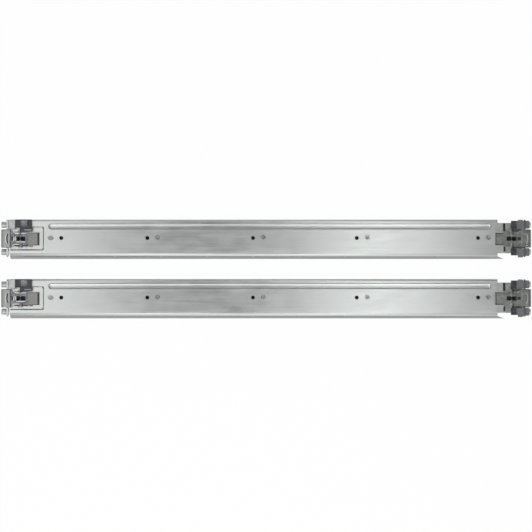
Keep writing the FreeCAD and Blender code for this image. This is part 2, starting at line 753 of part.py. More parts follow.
def front_pin_block():
    """The light block behind the upper front pin."""
    low, high = upper_block
    block = box(front_block_start, flange_inner, low, high, arm_top_z, arm_top_z + block_rise)
    rim = [edge for edge in block.Edges if edge.CenterOfMass.z > arm_top_z + block_rise - fit]
    return block.makeChamfer(pin_chamfer, rim).cut(pin_seat_bore(pin_y))


def rear_pin_blocks():
    """The two dark blocks behind the rear pins, each with a lower step at its inner end."""
    pieces = []
    step_end = rear_block_start + rear_step_length
    top = arm_top_z + block_rise
    for (low, high), y in ((upper_block, pin_y), (lower_block, -pin_y)):
        tall = box(step_end, flange_inner, low, high, arm_top_z, top)
        near = low if y > 0 else low + lower_step_inset
        far = high - upper_step_inset if y > 0 else high
        step = box(rear_block_start, step_end, near, far, arm_top_z, top - rear_step_drop)
        outer_y = high if y > 0 else low
        tip = [edge for edge in tall.Edges
               if abs(edge.CenterOfMass.y - outer_y) < fit and abs(edge.CenterOfMass.x - flange_inner) < fit]
        tall = tall.makeChamfer(rear_block_chamfer, tip)
        pieces.append(tall.fuse(step).cut(pin_seat_bore(y)))
    return pieces


def axle():
    """The hook axle, peened over outside both ears."""
    across = Vector(0, 1, 0)
    y0 = body_bottom - side_gap - ear_stock
    y1 = body_top + side_gap + ear_stock
    bar = rod(Vector(pivot_u, y0 - axle_head, pivot_z), across, axle_r, y1 - y0 + 2 * axle_head)
    heads = [rod(Vector(pivot_u, y, pivot_z), across, axle_head_r, axle_head)
             for y in (y0 - axle_head, y1)]
    return bar.fuse(heads)


def hook_spring():
    """Torsion spring round the axle, one leg against the bracket plate, one along the hook."""
    pitch = 2 * spring_wire_r + 2 * fit
    start_y = spring_slot_y - spring_turns * pitch / 2
    steps = int(spring_turns * spring_facets)
    stations = []
    for index in range(steps + 1):
        turn = 2 * math.pi * index / spring_facets
        outward = Vector(-math.sin(turn), 0, -math.cos(turn))
        centre = Vector(pivot_u, start_y + pitch * index / spring_facets, pivot_z)
        stations.append((centre + outward * spring_coil_r, outward))
    lower_leg = Vector(window_end - slack - pivot_u, 0, 0)
    upper_leg = Vector(spring_slot_end - 2 - pivot_u, 0, 0)
    stations.insert(0, (stations[0][0] + lower_leg, stations[0][1]))
    stations.append((stations[-1][0] + upper_leg, stations[-1][1]))
    side = Vector(0, spring_wire_r, 0)
    sections = []
    for spot, outward in stations:
        reach = outward * spring_wire_r
        corners = [spot + reach + side, spot + reach - side, spot - reach - side, spot - reach + side]
        sections.append(Part.makePolygon(corners + corners[:1]))
    return Part.makeLoft(sections, True, True)


def hook(head_bottom, tongue_end, slotted):
    """A cast hook: claw over the post, barrel on the axle, tongue to press it open."""
    low = pivot_z - body_drop
    neck = spring_slot_end
    shoulder = neck + head_flare
    head_start = flange_inner - head_overlap
    body = plate([(body_end - 1, body_bottom), (neck, body_bottom), (shoulder, head_bottom),
                  (head_start + 1, head_bottom), (head_start + 1, head_top), (shoulder, head_top),
                  (neck, body_top), (body_end - 1, body_top)], low, pivot_z + body_rise)
    rib_start = spring_slot_start - rib_margin
    rib = plate([(rib_start, body_bottom + rib_step), (neck - 1, body_bottom + rib_step),
                 (shoulder, head_bottom + rib_head_step), (head_start + 1, head_bottom + rib_head_step),
                 (head_start + 1, head_top - rib_head_step), (shoulder, head_top - rib_head_step),
                 (neck - 1, body_top - rib_step), (rib_start, body_top - rib_step)],
                low, pivot_z + rib_rise)
    tongue_z = pivot_z - tongue_drop
    full = tongue_end + tongue_taper
    tongue = plate([(tongue_end, tongue_bottom + tongue_bottom_taper), (full, tongue_bottom),
                    (body_end, tongue_bottom), (body_end, tongue_top), (full, tongue_top),
                    (tongue_end, tongue_top - tongue_top_taper)], tongue_z, tongue_z + tongue_stock)
    barrel = rod(Vector(pivot_u, body_bottom, pivot_z), Vector(0, 1, 0), barrel_r,
                 body_top - body_bottom)
    solid = hook_head(head_bottom, head_start).fuse([body, rib, tongue, barrel])
    bore = rod(Vector(pivot_u, -rail_half_height, pivot_z), Vector(0, 1, 0), axle_r + hook_bore_gap,
               2 * rail_half_height)
    slot = rounded_plate(spring_slot_start, spring_slot_end, spring_slot_y - spring_slot_half,
                         spring_slot_y + spring_slot_half, 1.0, arm_z, 2 * pivot_z)
    cuts = [bore, slot]
    if slotted:
        cuts.append(finger_slot(head_bottom))
    return solid.cut(cuts).removeSplitter()


def hook_head(head_bottom, head_start):
    """The hood that passes over the flange and turns down in front of the post."""
    under = pivot_z + head_lift
    top = pivot_z + head_rise
    tip = pivot_z - claw_drop
    inner = post_plane + throat
    outer = inner + claw_stock
    head = side_profile([(head_start, under), (inner, under), (inner, tip), (outer - claw_edge, tip),
                         (outer, tip + claw_edge), (outer, top), (head_start + claw_edge, top),
                         (head_start, pivot_z + rib_rise)], head_bottom, head_top)
    nose = [edge for edge in head.Edges
            if abs(edge.CenterOfMass.x - outer) < fit and abs(edge.CenterOfMass.z - top) < fit]
    head = head.makeFillet(claw_stock - claw_edge / 2, nose)
    sides = [edge for edge in head.Edges if abs(edge.CenterOfMass.x - outer) < fit
             and abs(edge.CenterOfMass.z - (tip + top) / 2) < claw_stock
             and edge.BoundBox.ZLength > 1]
    return head.makeFillet(claw_edge, sides)


def finger_slot(head_bottom):
    """The curved slot through the hood."""
    middle = (head_top + head_bottom) / 2
    centre = Vector(post_plane + slot_beyond_post - slot_radius, middle, pivot_z)
    up = Vector(0, 0, 1)
    tall = head_rise + 1
    ring = rod(centre, up, slot_radius, tall).cut(rod(centre, up, slot_radius - slot_width, tall))
    window = box(post_plane - slot_wrap, post_plane + throat, middle - slot_half_length,
                 middle + slot_half_length, pivot_z, pivot_z + tall)
    return ring.common(window)


# ---- front guard ----------------------------------------------------------------------------------------------------
def front_guard():
    """The moulded guard over the upper front corner, with its open window and lower band."""
    top = web_top + guard_height
    start = front_block_start - fit
    wall_start = guard_band_start - guard_overlap
    wall_end = guard_end + guard_shoulder
    high = rail_half_height
    body = box(guard_end, start, guard_low, high, web_top, top)
    window = rounded_plate(wall_end, wall_start, guard_low + guard_wall, high - guard_wall,
                           guard_window_corner, web_top - 1, top + 1)
    pad = box(wall_start, start, guard_low, high, top, top + guard_pad_rise)
    band = box(guard_end - guard_band_overrun, guard_band_start, guard_band_low, guard_low + guard_wall,
               pivot_z + ear_half_length + slack, top)
    return body.cut(window).fuse([pad, band])


# ---- assembly ----------------------------------------------------------------------------------------------------------
def to_front(shape):
    """The mirror image at the front end of the rail."""
    return shape.mirror(Vector(0, 0, 0), Vector(1, 0, 0))


def rail_pieces():
    """Every node of one rail about its own centre line: a list of solids for each name."""
    inner_cage_top = middle_web_z() - slide_stock / 2 - slack - cage_stock / 2
    outer_cage_top = outer_member_top - slide_stock - slack - cage_stock / 2
    front_low = pocket_bottom + pocket_slope + slack
    pieces = {
        "outer_rail": [outer_rail()],
        "slide_outer": [outer_member()],
        "slide_stop": [slide_stop()],
        "front_bracket": [to_front(end_bracket(front_low, head_top + slack / 2, front_head_bottom))],
        "front_pin_block": [to_front(front_pin_block())],
        "front_pins": [to_front(piece) for piece in front_pins()],
        "front_guard": [to_front(front_guard())],
        "front_axle": [to_front(axle())],
        "front_spring": [to_front(hook_spring())],
        "front_hook": [to_front(hook(front_head_bottom, front_tongue_end, True))],
        "depth_arm": [depth_arm()],
        "rear_bracket": [end_bracket(arm_bottom, arm_top, rear_head_bottom)],
        "rear_pin_blocks": rear_pin_blocks(),
        "rear_pins": rear_pins(),
        "rear_collars": collars(),
        "rear_axle": [axle()],
        "rear_spring": [hook_spring()],
        "rear_rivets": bracket_rivets(arm_stock),
        "rear_hook": [hook(rear_head_bottom, rear_tongue_end, False)],
        "slide_middle": [middle_member()],
        "slide_inner": [inner_member()],
        "release_lever": [release_lever()],
        "lever_rivet": [lever_rivet()],
        "outer_cage": [cage(row_half_height, outer_row_z, outer_cage_top)],
        "outer_balls": balls(row_half_height, outer_row_z),
        "inner_cage": [cage(inner_row_half_height, inner_row_z, inner_cage_top)],
        "inner_balls": balls(inner_row_half_height, inner_row_z),
    }
    return pieces


def export(name, solids):
    """Write one node as STEP."""
    shape = solids[0] if len(solids) == 1 else Part.makeCompound(solids)
    shape.exportStep("parts/" + name + ".step")


def main():
    """Write every node of the pair."""
    os.makedirs("parts", exist_ok=True)
    pieces = rail_pieces()
    shared = slide_rivets() + [to_front(piece) for piece in bracket_rivets(web_stock)]
    shared_rivets = []
    span = pieces["outer_rail"][0].BoundBox
    centring = -(span.YMin + span.YMax) / 2
    for rail, side in zip(rail_names, (1, -1)):
        place = Vector(0, side * rail_pitch / 2 + centring, 0)
        for name, solids in pieces.items():
            export(rail + "_" + name, [solid.translated(place) for solid in solids])
        shared_rivets += [rivet.translated(place) for rivet in shared]
    export("rail_rivets", shared_rivets)


main()
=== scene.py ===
"""Dresses a pair of sliding rack rails for a picture.

The rigid model is loaded as the frame.  The classes below give each sheet, casting and
wire its finish, break the sharp edges, and add the small pieces that the rigid model
keeps plain: the coiled hook springs, the full rows of balls, the rims of the cast hooks in
a painted highlight finish and the near-black bars and plates that paint the shade in
their gaps, the tray in the guard, the dished rivet heads and the stake marks of the lower
bend.  Painted shade also lies on the outer rail's lower flange and bend, on the middle
slide and the cages, and across the rear pin blocks, and the guard's tray is made paler
as painted light.
"""
from __future__ import annotations

import json
import logging
import math
from dataclasses import dataclass, field
from enum import Enum

import bpy
from mathutils import Matrix, Vector

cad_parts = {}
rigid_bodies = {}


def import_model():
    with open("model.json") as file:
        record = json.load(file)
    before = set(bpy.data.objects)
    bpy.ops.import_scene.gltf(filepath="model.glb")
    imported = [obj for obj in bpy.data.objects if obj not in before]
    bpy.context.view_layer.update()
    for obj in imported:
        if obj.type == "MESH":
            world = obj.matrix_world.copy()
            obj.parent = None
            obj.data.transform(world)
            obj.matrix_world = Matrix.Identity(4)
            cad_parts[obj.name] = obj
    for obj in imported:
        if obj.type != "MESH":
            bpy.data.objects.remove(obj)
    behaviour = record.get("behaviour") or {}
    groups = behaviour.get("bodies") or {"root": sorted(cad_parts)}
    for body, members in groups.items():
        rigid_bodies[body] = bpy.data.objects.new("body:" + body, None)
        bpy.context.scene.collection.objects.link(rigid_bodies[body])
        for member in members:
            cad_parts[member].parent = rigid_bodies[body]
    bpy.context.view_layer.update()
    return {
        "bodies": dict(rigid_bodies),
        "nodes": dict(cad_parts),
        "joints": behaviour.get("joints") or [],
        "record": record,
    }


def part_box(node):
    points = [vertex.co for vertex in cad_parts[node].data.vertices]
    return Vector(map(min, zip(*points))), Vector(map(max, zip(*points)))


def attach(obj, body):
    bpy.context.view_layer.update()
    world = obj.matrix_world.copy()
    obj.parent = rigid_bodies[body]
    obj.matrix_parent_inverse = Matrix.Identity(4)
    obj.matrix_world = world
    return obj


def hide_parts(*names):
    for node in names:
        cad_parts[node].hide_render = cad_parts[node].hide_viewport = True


LOG = logging.getLogger("rails")
MM = 0.001
RAILS = ("upper", "lower")
HEAD_RISE_MM = 0.7  # rivet heads above the web
MERGE_MM = 0.01  # vertices nearer than this are one
BEVEL_STEPS = 2
UPWARD = 0.9  # least z of the normal of an upward face
PRODUCT_SPAN = (0.12, 0.4)  # usual span of two noise factors multiplied

Colour = tuple[float, float, float]
Double = tuple[float, float]
Triple = tuple[float, float, float]
Socket = bpy.types.NodeSocket
Material = bpy.types.Material
Piece = bpy.types.Object


class Slot(Enum):
    """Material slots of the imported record."""

    SHEET = "galvanised_sheet"
    SLIDE = "slide_steel"
    PLATE = "zinc_plate"
    CAST = "cast_zinc"
    DARK_CAST = "dark_cast"
    PLASTIC = "black_plastic"
    PIN = "pin_steel"
    SPRING = "spring_steel"
    BALL = "ball_steel"


class End(Enum):
    """The two ends of a rail, with the side of x that each lies on."""

    FRONT = -1
    REAR = 1


# ---- finishes ----
@dataclass(frozen=True)
class Pattern:
    """A noise pattern.

    scale is in features per metre along x, y and z, octaves is the number of finer copies
    laid on it, and finer is their weight.  Its factor counts from start up to end.
    """

    scale: Triple
    octaves: float
    finer: float = 0.55
    start: float = 0.3
    end: float = 0.7


class NodeBench:
    """Builds the node tree of one material."""

    def __init__(self, name: str) -> None:
        """Starts an empty material with an output and a Principled shader."""
        self.material = bpy.data.materials.new(name)
        self.material.use_nodes = True
        self.tree = self.material.node_tree
        self.tree.nodes.clear()
        self.out = self.node("ShaderNodeOutputMaterial")
        self.shader = self.node("ShaderNodeBsdfPrincipled")
        self.link(self.shader.outputs["BSDF"], self.out.inputs["Surface"])
        self.place = self.node("ShaderNodeTexCoord").outputs["Object"]

    def node(self, kind: str) -> bpy.types.Node:
        """Adds one node of the given kind."""
        return self.tree.nodes.new(kind)

    def link(self, source: Socket, target: Socket) -> None:
        """Joins two sockets."""
        self.tree.links.new(source, target)

    def stretched(self, scale: Triple) -> Socket:
        """Object coordinates stretched by a Mapping node.

        Args:
            scale: pattern repeats per metre along x, y and z.

        Returns:
            The vector socket.
        """
        mapping = self.node("ShaderNodeMapping")
        mapping.inputs["Scale"].default_value = scale
        self.link(self.place, mapping.inputs["Vector"])
        return mapping.outputs["Vector"]

    def noise(self, pattern: Pattern) -> Socket:
        """The factor of a noise pattern."""
        noise = self.node("ShaderNodeTexNoise")
        noise.inputs["Scale"].default_value = 1.0
        noise.inputs["Detail"].default_value = pattern.octaves
        noise.inputs["Roughness"].default_value = pattern.finer
        self.link(self.stretched(pattern.scale), noise.inputs["Vector"])
        return noise.outputs["Fac"]

    def patch(self, pattern: Pattern, share: float) -> Socket:
        """A share that is laid on where a noise pattern is high."""
        return self.spread(self.noise(pattern), 0.0, share, pattern.start, pattern.end)

    def spread(self, source: Socket, low: float, high: float,
               start: float = 0.3, end: float = 0.7) -> Socket:
        """Maps a factor from start..end to low..high, clamped."""
        remap = self.node("ShaderNodeMapRange")
        for name, value in (("From Min", start), ("From Max", end),
                            ("To Min", low), ("To Max", high)):
            remap.inputs[name].default_value = value
        self.link(source, remap.inputs["Value"])
        return remap.outputs["Result"]

    def sum(self, first: Socket, second: Socket, how: str = "ADD") -> Socket:
        """Two factors combined by a Math node."""
        math_node = self.node("ShaderNodeMath")
        math_node.operation = how
        self.link(first, math_node.inputs[0])
        self.link(second, math_node.inputs[1])
        return math_node.outputs["Value"]

    def tint(self, factor: Socket, low: Colour, high: Colour) -> Socket:
        """A colour between two, by a factor."""
        mix = self.node("ShaderNodeMix")
        mix.data_type = "RGBA"
        mix.inputs[6].default_value = (*low, 1.0)
        mix.inputs[7].default_value = (*high, 1.0)
        self.link(factor, mix.inputs[0])
        return mix.outputs[2]

    def blend(self, factor: Socket, base: Socket, top: Colour) -> Socket:
        """A colour socket covered by a plain colour where the factor is high."""
        mix = self.node("ShaderNodeMix")
        mix.data_type = "RGBA"
        mix.inputs[7].default_value = (*top, 1.0)
        self.link(factor, mix.inputs[0])
        self.link(base, mix.inputs[6])
        return mix.outputs[2]

    def maths(self, how: str, source: Socket, value: float = 0.0) -> Socket:
        """A factor changed by a Math node with a fixed second value."""
        math_node = self.node("ShaderNodeMath")
        math_node.operation = how
        math_node.inputs[1].default_value = value
        self.link(source, math_node.inputs[0])
        return math_node.outputs["Value"]

    def axes(self) -> tuple[Socket, ...]:
        """Object coordinates along x, y and z, in metres."""
        split = self.node("ShaderNodeSeparateXYZ")
        self.link(self.place, split.inputs["Vector"])
        return tuple(split.outputs)

    def bump(self, height: Socket, depth_mm: float, strength: float) -> None:
        """Raises the surface by a height pattern, over any relief that is there already."""
        bump = self.node("ShaderNodeBump")
        bump.inputs["Strength"].default_value = strength
        bump.inputs["Distance"].default_value = depth_mm * MM
        self.link(height, bump.inputs["Height"])
        normal = self.shader.inputs["Normal"]
        if normal.is_linked:
            self.link(normal.links[0].from_socket, bump.inputs["Normal"])
        self.link(bump.outputs["Normal"], normal)

    def surface(self, colour: Socket, rough: Socket, metallic: float = 0.0) -> None:
        """Gives the shader its colour, its roughness and its share of metal."""
        self.link(colour, self.shader.inputs["Base Color"])
        self.link(rough, self.shader.inputs["Roughness"])
        self.shader.inputs["Metallic"].default_value = metallic


@dataclass(frozen=True)
class SheetFinish:
    """Cold rolled sheet with a zinc coat: long rolling grain, soft mottle, faint rubs."""

    name: str
    low: Colour
    high: Colour
    metallic: float = 1.0
    rough_low: float = 0.30
    rough_high: float = 0.44
    grain: Triple = (18.0, 900.0, 900.0)
    mottle: float = 70.0
    grain_depth_mm: float = 0.012
    rub: Colour = (0.80, 0.81, 0.80)
    scuffs: Pattern = Pattern((6.0, 260.0, 260.0), 6.0, 0.7, 0.66, 0.82)
    scuff_share: float = 0.5
    grain_share: float = 0.45
    mottle_stretch: float = 0.6
    relief: float = 0.35

    def material(self) -> Material:
        """Builds the material."""
        return self.coat(NodeBench(self.name)).material

    def coat(self, bench: NodeBench) -> NodeBench:
        """Lays the zinc coat on a bench."""
        grain = bench.noise(Pattern(self.grain, 4.0))
        mottle_scale = (self.mottle * self.mottle_stretch, self.mottle, self.mottle)
        mottle = bench.noise(Pattern(mottle_scale, 5.0, 0.6))
        tone = bench.sum(bench.spread(grain, 0.0, self.grain_share),
                         bench.spread(mottle, 0.0, 1.0 - self.grain_share))
        colour = bench.tint(tone, self.low, self.high)
        colour = bench.blend(bench.patch(self.scuffs, self.scuff_share), colour, self.rub)
        product = bench.sum(grain, mottle, "MULTIPLY")
        rough = bench.spread(product, self.rough_low, self.rough_high, *PRODUCT_SPAN)
        bench.surface(colour, rough, self.metallic)
        bench.bump(grain, self.grain_depth_mm, self.relief)
        return bench


@dataclass(frozen=True)
class PressedSheetFinish(SheetFinish):
    """The outer rail's sheet, with a soft groove and bend, and painted shade on its lower flange
    and on the brim of its bend.

    Heights across a rail are millimetres from its centre line.  ease_mm and brim_mm each
    hold where a slope starts, how far it runs down, and how high it rises.
    """

    rail_ys: Double = (0.0, 0.0)
    groove_y_mm: float = 13.7
    groove_half_mm: float = 3.4
    groove_span_mm: Double = (-253.2, 262.3)
    dish_mm: float = 0.85
    ease_mm: Triple = (-11.5, 8.5, -0.34)
    brim_mm: Triple = (-18.6, 3.4, 0.6)
    # painted shade on the brim of the bend: where it starts and where it is full across the rail,
    # and its share
    bend_shade_mm: Double = (-17.0, -18.8)
    bend_shade_share: float = 0.3
    web_z: float = 0.015
    # painted shade on the lower flange: drops below the web where it starts and where it is full,
    # its colour and its share
    flange_shade_mm: Double = (1.0, 2.2)
    flange_shade: Colour = (0.22, 0.225, 0.225)
    flange_shade_share: float = 0.8

    def material(self) -> Material:
        """Builds the material."""
        bench = NodeBench(self.name)
        self.coat(bench)
        along, across, up = bench.axes()
        upper, lower = max(self.rail_ys), min(self.rail_ys)
        is_upper = bench.maths("GREATER_THAN", across, (upper + lower) / 2)
        shift = bench.maths("ADD", bench.maths("MULTIPLY", is_upper, upper - lower), lower)
        local = bench.sum(across, shift, "SUBTRACT")
        self.press_groove(bench, along, local)
        self.ease_bend(bench, local)
        self.paint_flange_shade(bench, up, local)
        return bench.material

    def press_groove(self, bench: NodeBench, along: Socket, local: Socket) -> None:
        """Dishes the floor of the long groove, with round ends."""
        start, end = (value * MM for value in self.groove_span_mm)
        half = self.groove_half_mm * MM
        beyond = bench.maths("ABSOLUTE", bench.maths("SUBTRACT", along, (start + end) / 2))
        beyond = bench.maths("SUBTRACT", beyond, (end - start) / 2 - half)
        beyond = bench.maths("MAXIMUM", beyond, 0.0)
        aside = bench.maths("SUBTRACT", local, self.groove_y_mm * MM)
        square = bench.sum(bench.maths("POWER", beyond, 2.0), bench.sum(aside, aside, "MULTIPLY"))
        dish = bench.spread(square, 0.0, 1.0, 0.0, half * half)
        bench.bump(dish, self.dish_mm, 1.0)

    def ease_bend(self, bench: NodeBench, local: Socket) -> None:
        """Lets the web fall away softly, then holds the brim of the bend flatter."""
        for start, run, rise in (self.ease_mm, self.brim_mm):
            part = bench.spread(local, 1.0, 0.0, (start - run) * MM, start * MM)
            square = bench.maths("POWER", part, 2.0)
            height = bench.maths("MULTIPLY", square, math.copysign(1.0, rise))
            bench.bump(height, abs(rise), 1.0)

    def paint_flange_shade(self, bench: NodeBench, up: Socket, local: Socket) -> None:
        """Paints shade on the lower flange below its bend, and a little painted shade on the brim
        of the bend.
        """
        near, far = (self.web_z - drop * MM for drop in self.flange_shade_mm)
        share = bench.spread(up, self.flange_shade_share, 0.0, far, near)
        brim = self.bend_shade_mm[0] * MM
        share = bench.sum(share, bench.maths("LESS_THAN", local, brim), "MULTIPLY")
        bend_shade = bench.spread(local, self.bend_shade_share, 0.0, self.bend_shade_mm[1] * MM, brim)
        share = bench.sum(share, bend_shade, "MAXIMUM")
        base = bench.shader.inputs["Base Color"]
        coated = base.links[0].from_socket
        bench.link(bench.blend(share, coated, self.flange_shade), base)


@dataclass(frozen=True)
class CastFinish:
    """Die cast metal: fine blasted grain, a tone that varies at random, bare worn spots."""

    name: str
    low: Colour
    high: Colour
    bare: Colour
    metallic: float
    rough_low: float
    rough_high: float
    grain: float = 1400.0
    depth_mm: float = 0.05
    bare_share: float = 0.35
    tongue: Colour | None = None
    hood: Colour | None = None
    tongue_end_mm: float = 276.6
    hood_start_mm: float = 297.0
    tongue_fade_mm: float = 0.2
    hood_fade_mm: float = 0.6
    zone_share: float = 0.75
    flow: Pattern = Pattern((190.0, 260.0, 260.0), 5.0, 0.62, 0.32, 0.68)
    worn: Pattern = Pattern((420.0, 420.0, 420.0), 6.0, 0.7, 0.6, 0.74)
    product_span: Double = (0.12, 0.42)
    relief: float = 0.5

    def zones(self, bench: NodeBench, colour: Socket) -> Socket:
        """Tones the inner tongue and the outer hood of a casting apart from its body."""
        reach = bench.maths("ABSOLUTE", bench.axes()[0])
        if self.tongue is not None:
            edge = self.tongue_end_mm * MM
            share = bench.spread(reach, self.zone_share, 0.0, edge - self.tongue_fade_mm * MM, edge)
            colour = bench.blend(share, colour, self.tongue)
        if self.hood is not None:
            edge = self.hood_start_mm * MM
            share = bench.spread(reach, 0.0, self.zone_share, edge, edge + self.hood_fade_mm * MM)
            colour = bench.blend(share, colour, self.hood)
        return colour

    def material(self) -> Material:
        """Builds the material."""
        bench = NodeBench(self.name)
        blast = bench.noise(Pattern((self.grain, self.grain, self.grain), 3.0, 0.6))
        flow = bench.noise(self.flow)
        tone = bench.spread(flow, 0.0, 1.0, self.flow.start, self.flow.end)
        colour = bench.tint(tone, self.low, self.high)
        if self.tongue is not None or self.hood is not None:
            colour = self.zones(bench, colour)
        colour = bench.blend(bench.patch(self.worn, self.bare_share), colour, self.bare)
        product = bench.sum(blast, flow, "MULTIPLY")
        rough = bench.spread(product, self.rough_low, self.rough_high, *self.product_span)
        bench.surface(colour, rough, self.metallic)
        bench.bump(bench.sum(blast, flow), self.depth_mm, self.relief)
        return bench.material


@dataclass(frozen=True)
class PlasticFinish:
    """Glass filled plastic with a moulded grain and pale scuffs, black unless said."""

    name: str
    low: Colour = (0.030, 0.032, 0.036)
    high: Colour = (0.060, 0.064, 0.070)
    scuff: Colour = (0.16, 0.165, 0.17)
    grain: Pattern = Pattern((2200.0, 2200.0, 2200.0), 2.0)
    cloud: Pattern = Pattern((150.0, 150.0, 150.0), 4.0)
    scuffs: Pattern = Pattern((900.0, 260.0, 500.0), 6.0, 0.7, 0.62, 0.78)
    scuff_share: float = 0.4
    rough_low: float = 0.38
    rough_high: float = 0.55
    depth_mm: float = 0.03
    relief: float = 0.45

    def material(self) -> Material:
        """Builds the material."""
        bench = NodeBench(self.name)
        grain = bench.noise(self.grain)
        colour = bench.tint(bench.patch(self.cloud, 1.0), self.low, self.high)
        colour = bench.blend(bench.patch(self.scuffs, self.scuff_share), colour, self.scuff)
        bench.surface(colour, bench.spread(grain, self.rough_low, self.rough_high))
        bench.bump(grain, self.depth_mm, self.relief)
        return bench.material


@dataclass(frozen=True)
class TurnedFinish:
    """Turned or drawn steel: fine rings across the bar and a light mottle."""

    name: str
    low: Colour
    high: Colour
    rough_low: float
    rough_high: float
    rings: Triple = (2600.0, 120.0, 120.0)
    cloud: Pattern = Pattern((300.0, 300.0, 300.0), 4.0)
    depth_mm: float = 0.01
    relief: float = 0.3

    def material(self) -> Material:
        """Builds the material."""
        bench = NodeBench(self.name)
        rings = bench.noise(Pattern(self.rings, 3.0))
        cloud = bench.noise(self.cloud)
        tone = bench.spread(bench.sum(rings, cloud, "MULTIPLY"), 0.0, 1.0, *PRODUCT_SPAN)
        rough = bench.spread(cloud, self.rough_low, self.rough_high)
        bench.surface(bench.tint(tone, self.low, self.high), rough, 1.0)
        bench.bump(rings, self.depth_mm, self.relief)
        return bench.material


SLOT_FINISHES = {
    Slot.SHEET: SheetFinish("galvanised_sheet", (0.58, 0.60, 0.585), (0.67, 0.69, 0.675)),
    Slot.SLIDE: SheetFinish("slide_steel", (0.48, 0.49, 0.50), (0.60, 0.61, 0.62),
                            rough_low=0.24, rough_high=0.36, grain=(10.0, 1400.0, 1400.0)),
    Slot.PLATE: SheetFinish("zinc_plate", (0.52, 0.53, 0.53), (0.64, 0.65, 0.65),
                            rough_low=0.28, rough_high=0.42, grain=(300.0, 300.0, 300.0),
                            mottle=160.0),
    Slot.CAST: CastFinish("cast_zinc", (0.20, 0.205, 0.205), (0.40, 0.41, 0.41),
                          (0.62, 0.63, 0.62), 1.0, 0.30, 0.46),
    Slot.DARK_CAST: CastFinish("dark_cast", (0.050, 0.055, 0.058), (0.105, 0.112, 0.112),
                               (0.34, 0.35, 0.34), 0.55, 0.30, 0.48, bare_share=0.3),
    Slot.PLASTIC: PlasticFinish("black_plastic"),
    Slot.PIN: TurnedFinish("pin_steel", (0.42, 0.43, 0.43), (0.60, 0.61, 0.61), 0.22, 0.36),
    Slot.SPRING: TurnedFinish("spring_steel", (0.035, 0.037, 0.040), (0.10, 0.104, 0.108),
                              0.26, 0.40, (500.0, 500.0, 500.0)),
    Slot.BALL: TurnedFinish("ball_steel", (0.66, 0.67, 0.68), (0.76, 0.77, 0.78), 0.05, 0.12,
                            (200.0, 200.0, 200.0)),
}
SPECIAL_FINISHES = (
    # near-black steel of the middle slide and the cages: painted shade for the slide's shaded
    # inside, seen through its holes
    SheetFinish("greased_steel", (0.020, 0.020, 0.019), (0.050, 0.050, 0.048), metallic=0.35,
                rough_low=0.42, rough_high=0.60, grain=(10.0, 1400.0, 1400.0),
                rub=(0.11, 0.11, 0.105)),
    CastFinish("hook_cast", (0.10, 0.105, 0.11), (0.30, 0.305, 0.31), (0.60, 0.61, 0.60),
               0.9, 0.28, 0.44, tongue=(0.27, 0.26, 0.238), hood=(0.40, 0.405, 0.395)),
    CastFinish("rear_hook_cast", (0.20, 0.203, 0.19), (0.35, 0.355, 0.335), (0.46, 0.46, 0.44),
               0.6, 0.30, 0.46, bare_share=0.3),
    CastFinish("rear_plate", (0.36, 0.37, 0.365), (0.52, 0.53, 0.52), (0.70, 0.71, 0.70),
               0.8, 0.30, 0.44, hood=(0.15, 0.155, 0.155), hood_start_mm=284.8, zone_share=0.9),
    # dark pin blocks with a lighter outer end: the split paints light and shade across the block
    CastFinish("rear_block", (0.035, 0.040, 0.044), (0.085, 0.092, 0.096), (0.30, 0.31, 0.31),
               0.4, 0.32, 0.48, bare_share=0.25, hood=(0.25, 0.26, 0.26), hood_start_mm=290.8,
               zone_share=0.8),
    CastFinish("pale_cast", (0.38, 0.39, 0.385), (0.60, 0.61, 0.60), (0.85, 0.86, 0.85),
               0.75, 0.30, 0.46),
    # near-white finish of the hook rims and glint bars: a painted highlight
    CastFinish("rubbed_edge", (0.74, 0.75, 0.74), (0.88, 0.89, 0.88), (0.93, 0.93, 0.92),
               0.45, 0.26, 0.40, depth_mm=0.02),
    # pale grey plastic of the guard's tray and rib, made paler as painted light where the guard's
    # window shades the tray
    PlasticFinish("grey_plastic", (0.34, 0.345, 0.36), (0.52, 0.53, 0.54), (0.66, 0.66, 0.66)),
    # near-black plastic of the bars and plates that paint the shade in the hooks' gaps
    PlasticFinish("dark_gap", (0.012, 0.012, 0.013), (0.028, 0.028, 0.030), (0.07, 0.07, 0.07)),
    TurnedFinish("dull_head", (0.22, 0.225, 0.222), (0.44, 0.445, 0.44), 0.34, 0.48,
                 (240.0, 240.0, 240.0)),
)


@dataclass
class FinishSet:
    """One material for each slot of the record, and one for each special finish."""

    rail_ys: Double
    web_z: float
    made: dict[Slot | str, Material] = field(default_factory=dict)

    def build(self) -> "FinishSet":
        """Makes every material."""
        sheet = SLOT_FINISHES[Slot.SHEET]
        pressed = PressedSheetFinish("pressed_sheet", sheet.low, sheet.high,
                                     rail_ys=self.rail_ys, web_z=self.web_z)
        for slot, finish in SLOT_FINISHES.items():
            self.made[slot] = finish.material()
        for finish in (pressed, *SPECIAL_FINISHES):
            self.made[finish.name] = finish.material()
        return self

    def put(self, piece: Piece, finish: Slot | str) -> None:
        """Gives a piece one finish, named by its slot or, outside the slots, by name."""
        piece.data.materials.clear()
        piece.data.materials.append(self.made[finish])


# ---- modelling helpers ----
def enter(mode: str) -> None:
    """Enters object mode or edit mode."""
    bpy.ops.object.mode_set(mode=mode)


def deselect() -> None:
    """Leaves nothing selected, in object mode."""
    if bpy.context.object is not None and bpy.context.object.mode != "OBJECT":
        enter("OBJECT")
    bpy.ops.object.select_all(action="DESELECT")


def pick(piece: Piece) -> None:
    """Makes one piece the only selected and active one."""
    deselect()
    piece.select_set(True)
    bpy.context.view_layer.objects.active = piece


def settle(piece: Piece) -> Piece:
    """Applies a piece's place, so that its object sits at the origin."""
    pick(piece)
    bpy.ops.object.transform_apply(location=True, rotation=True, scale=True)
    return piece


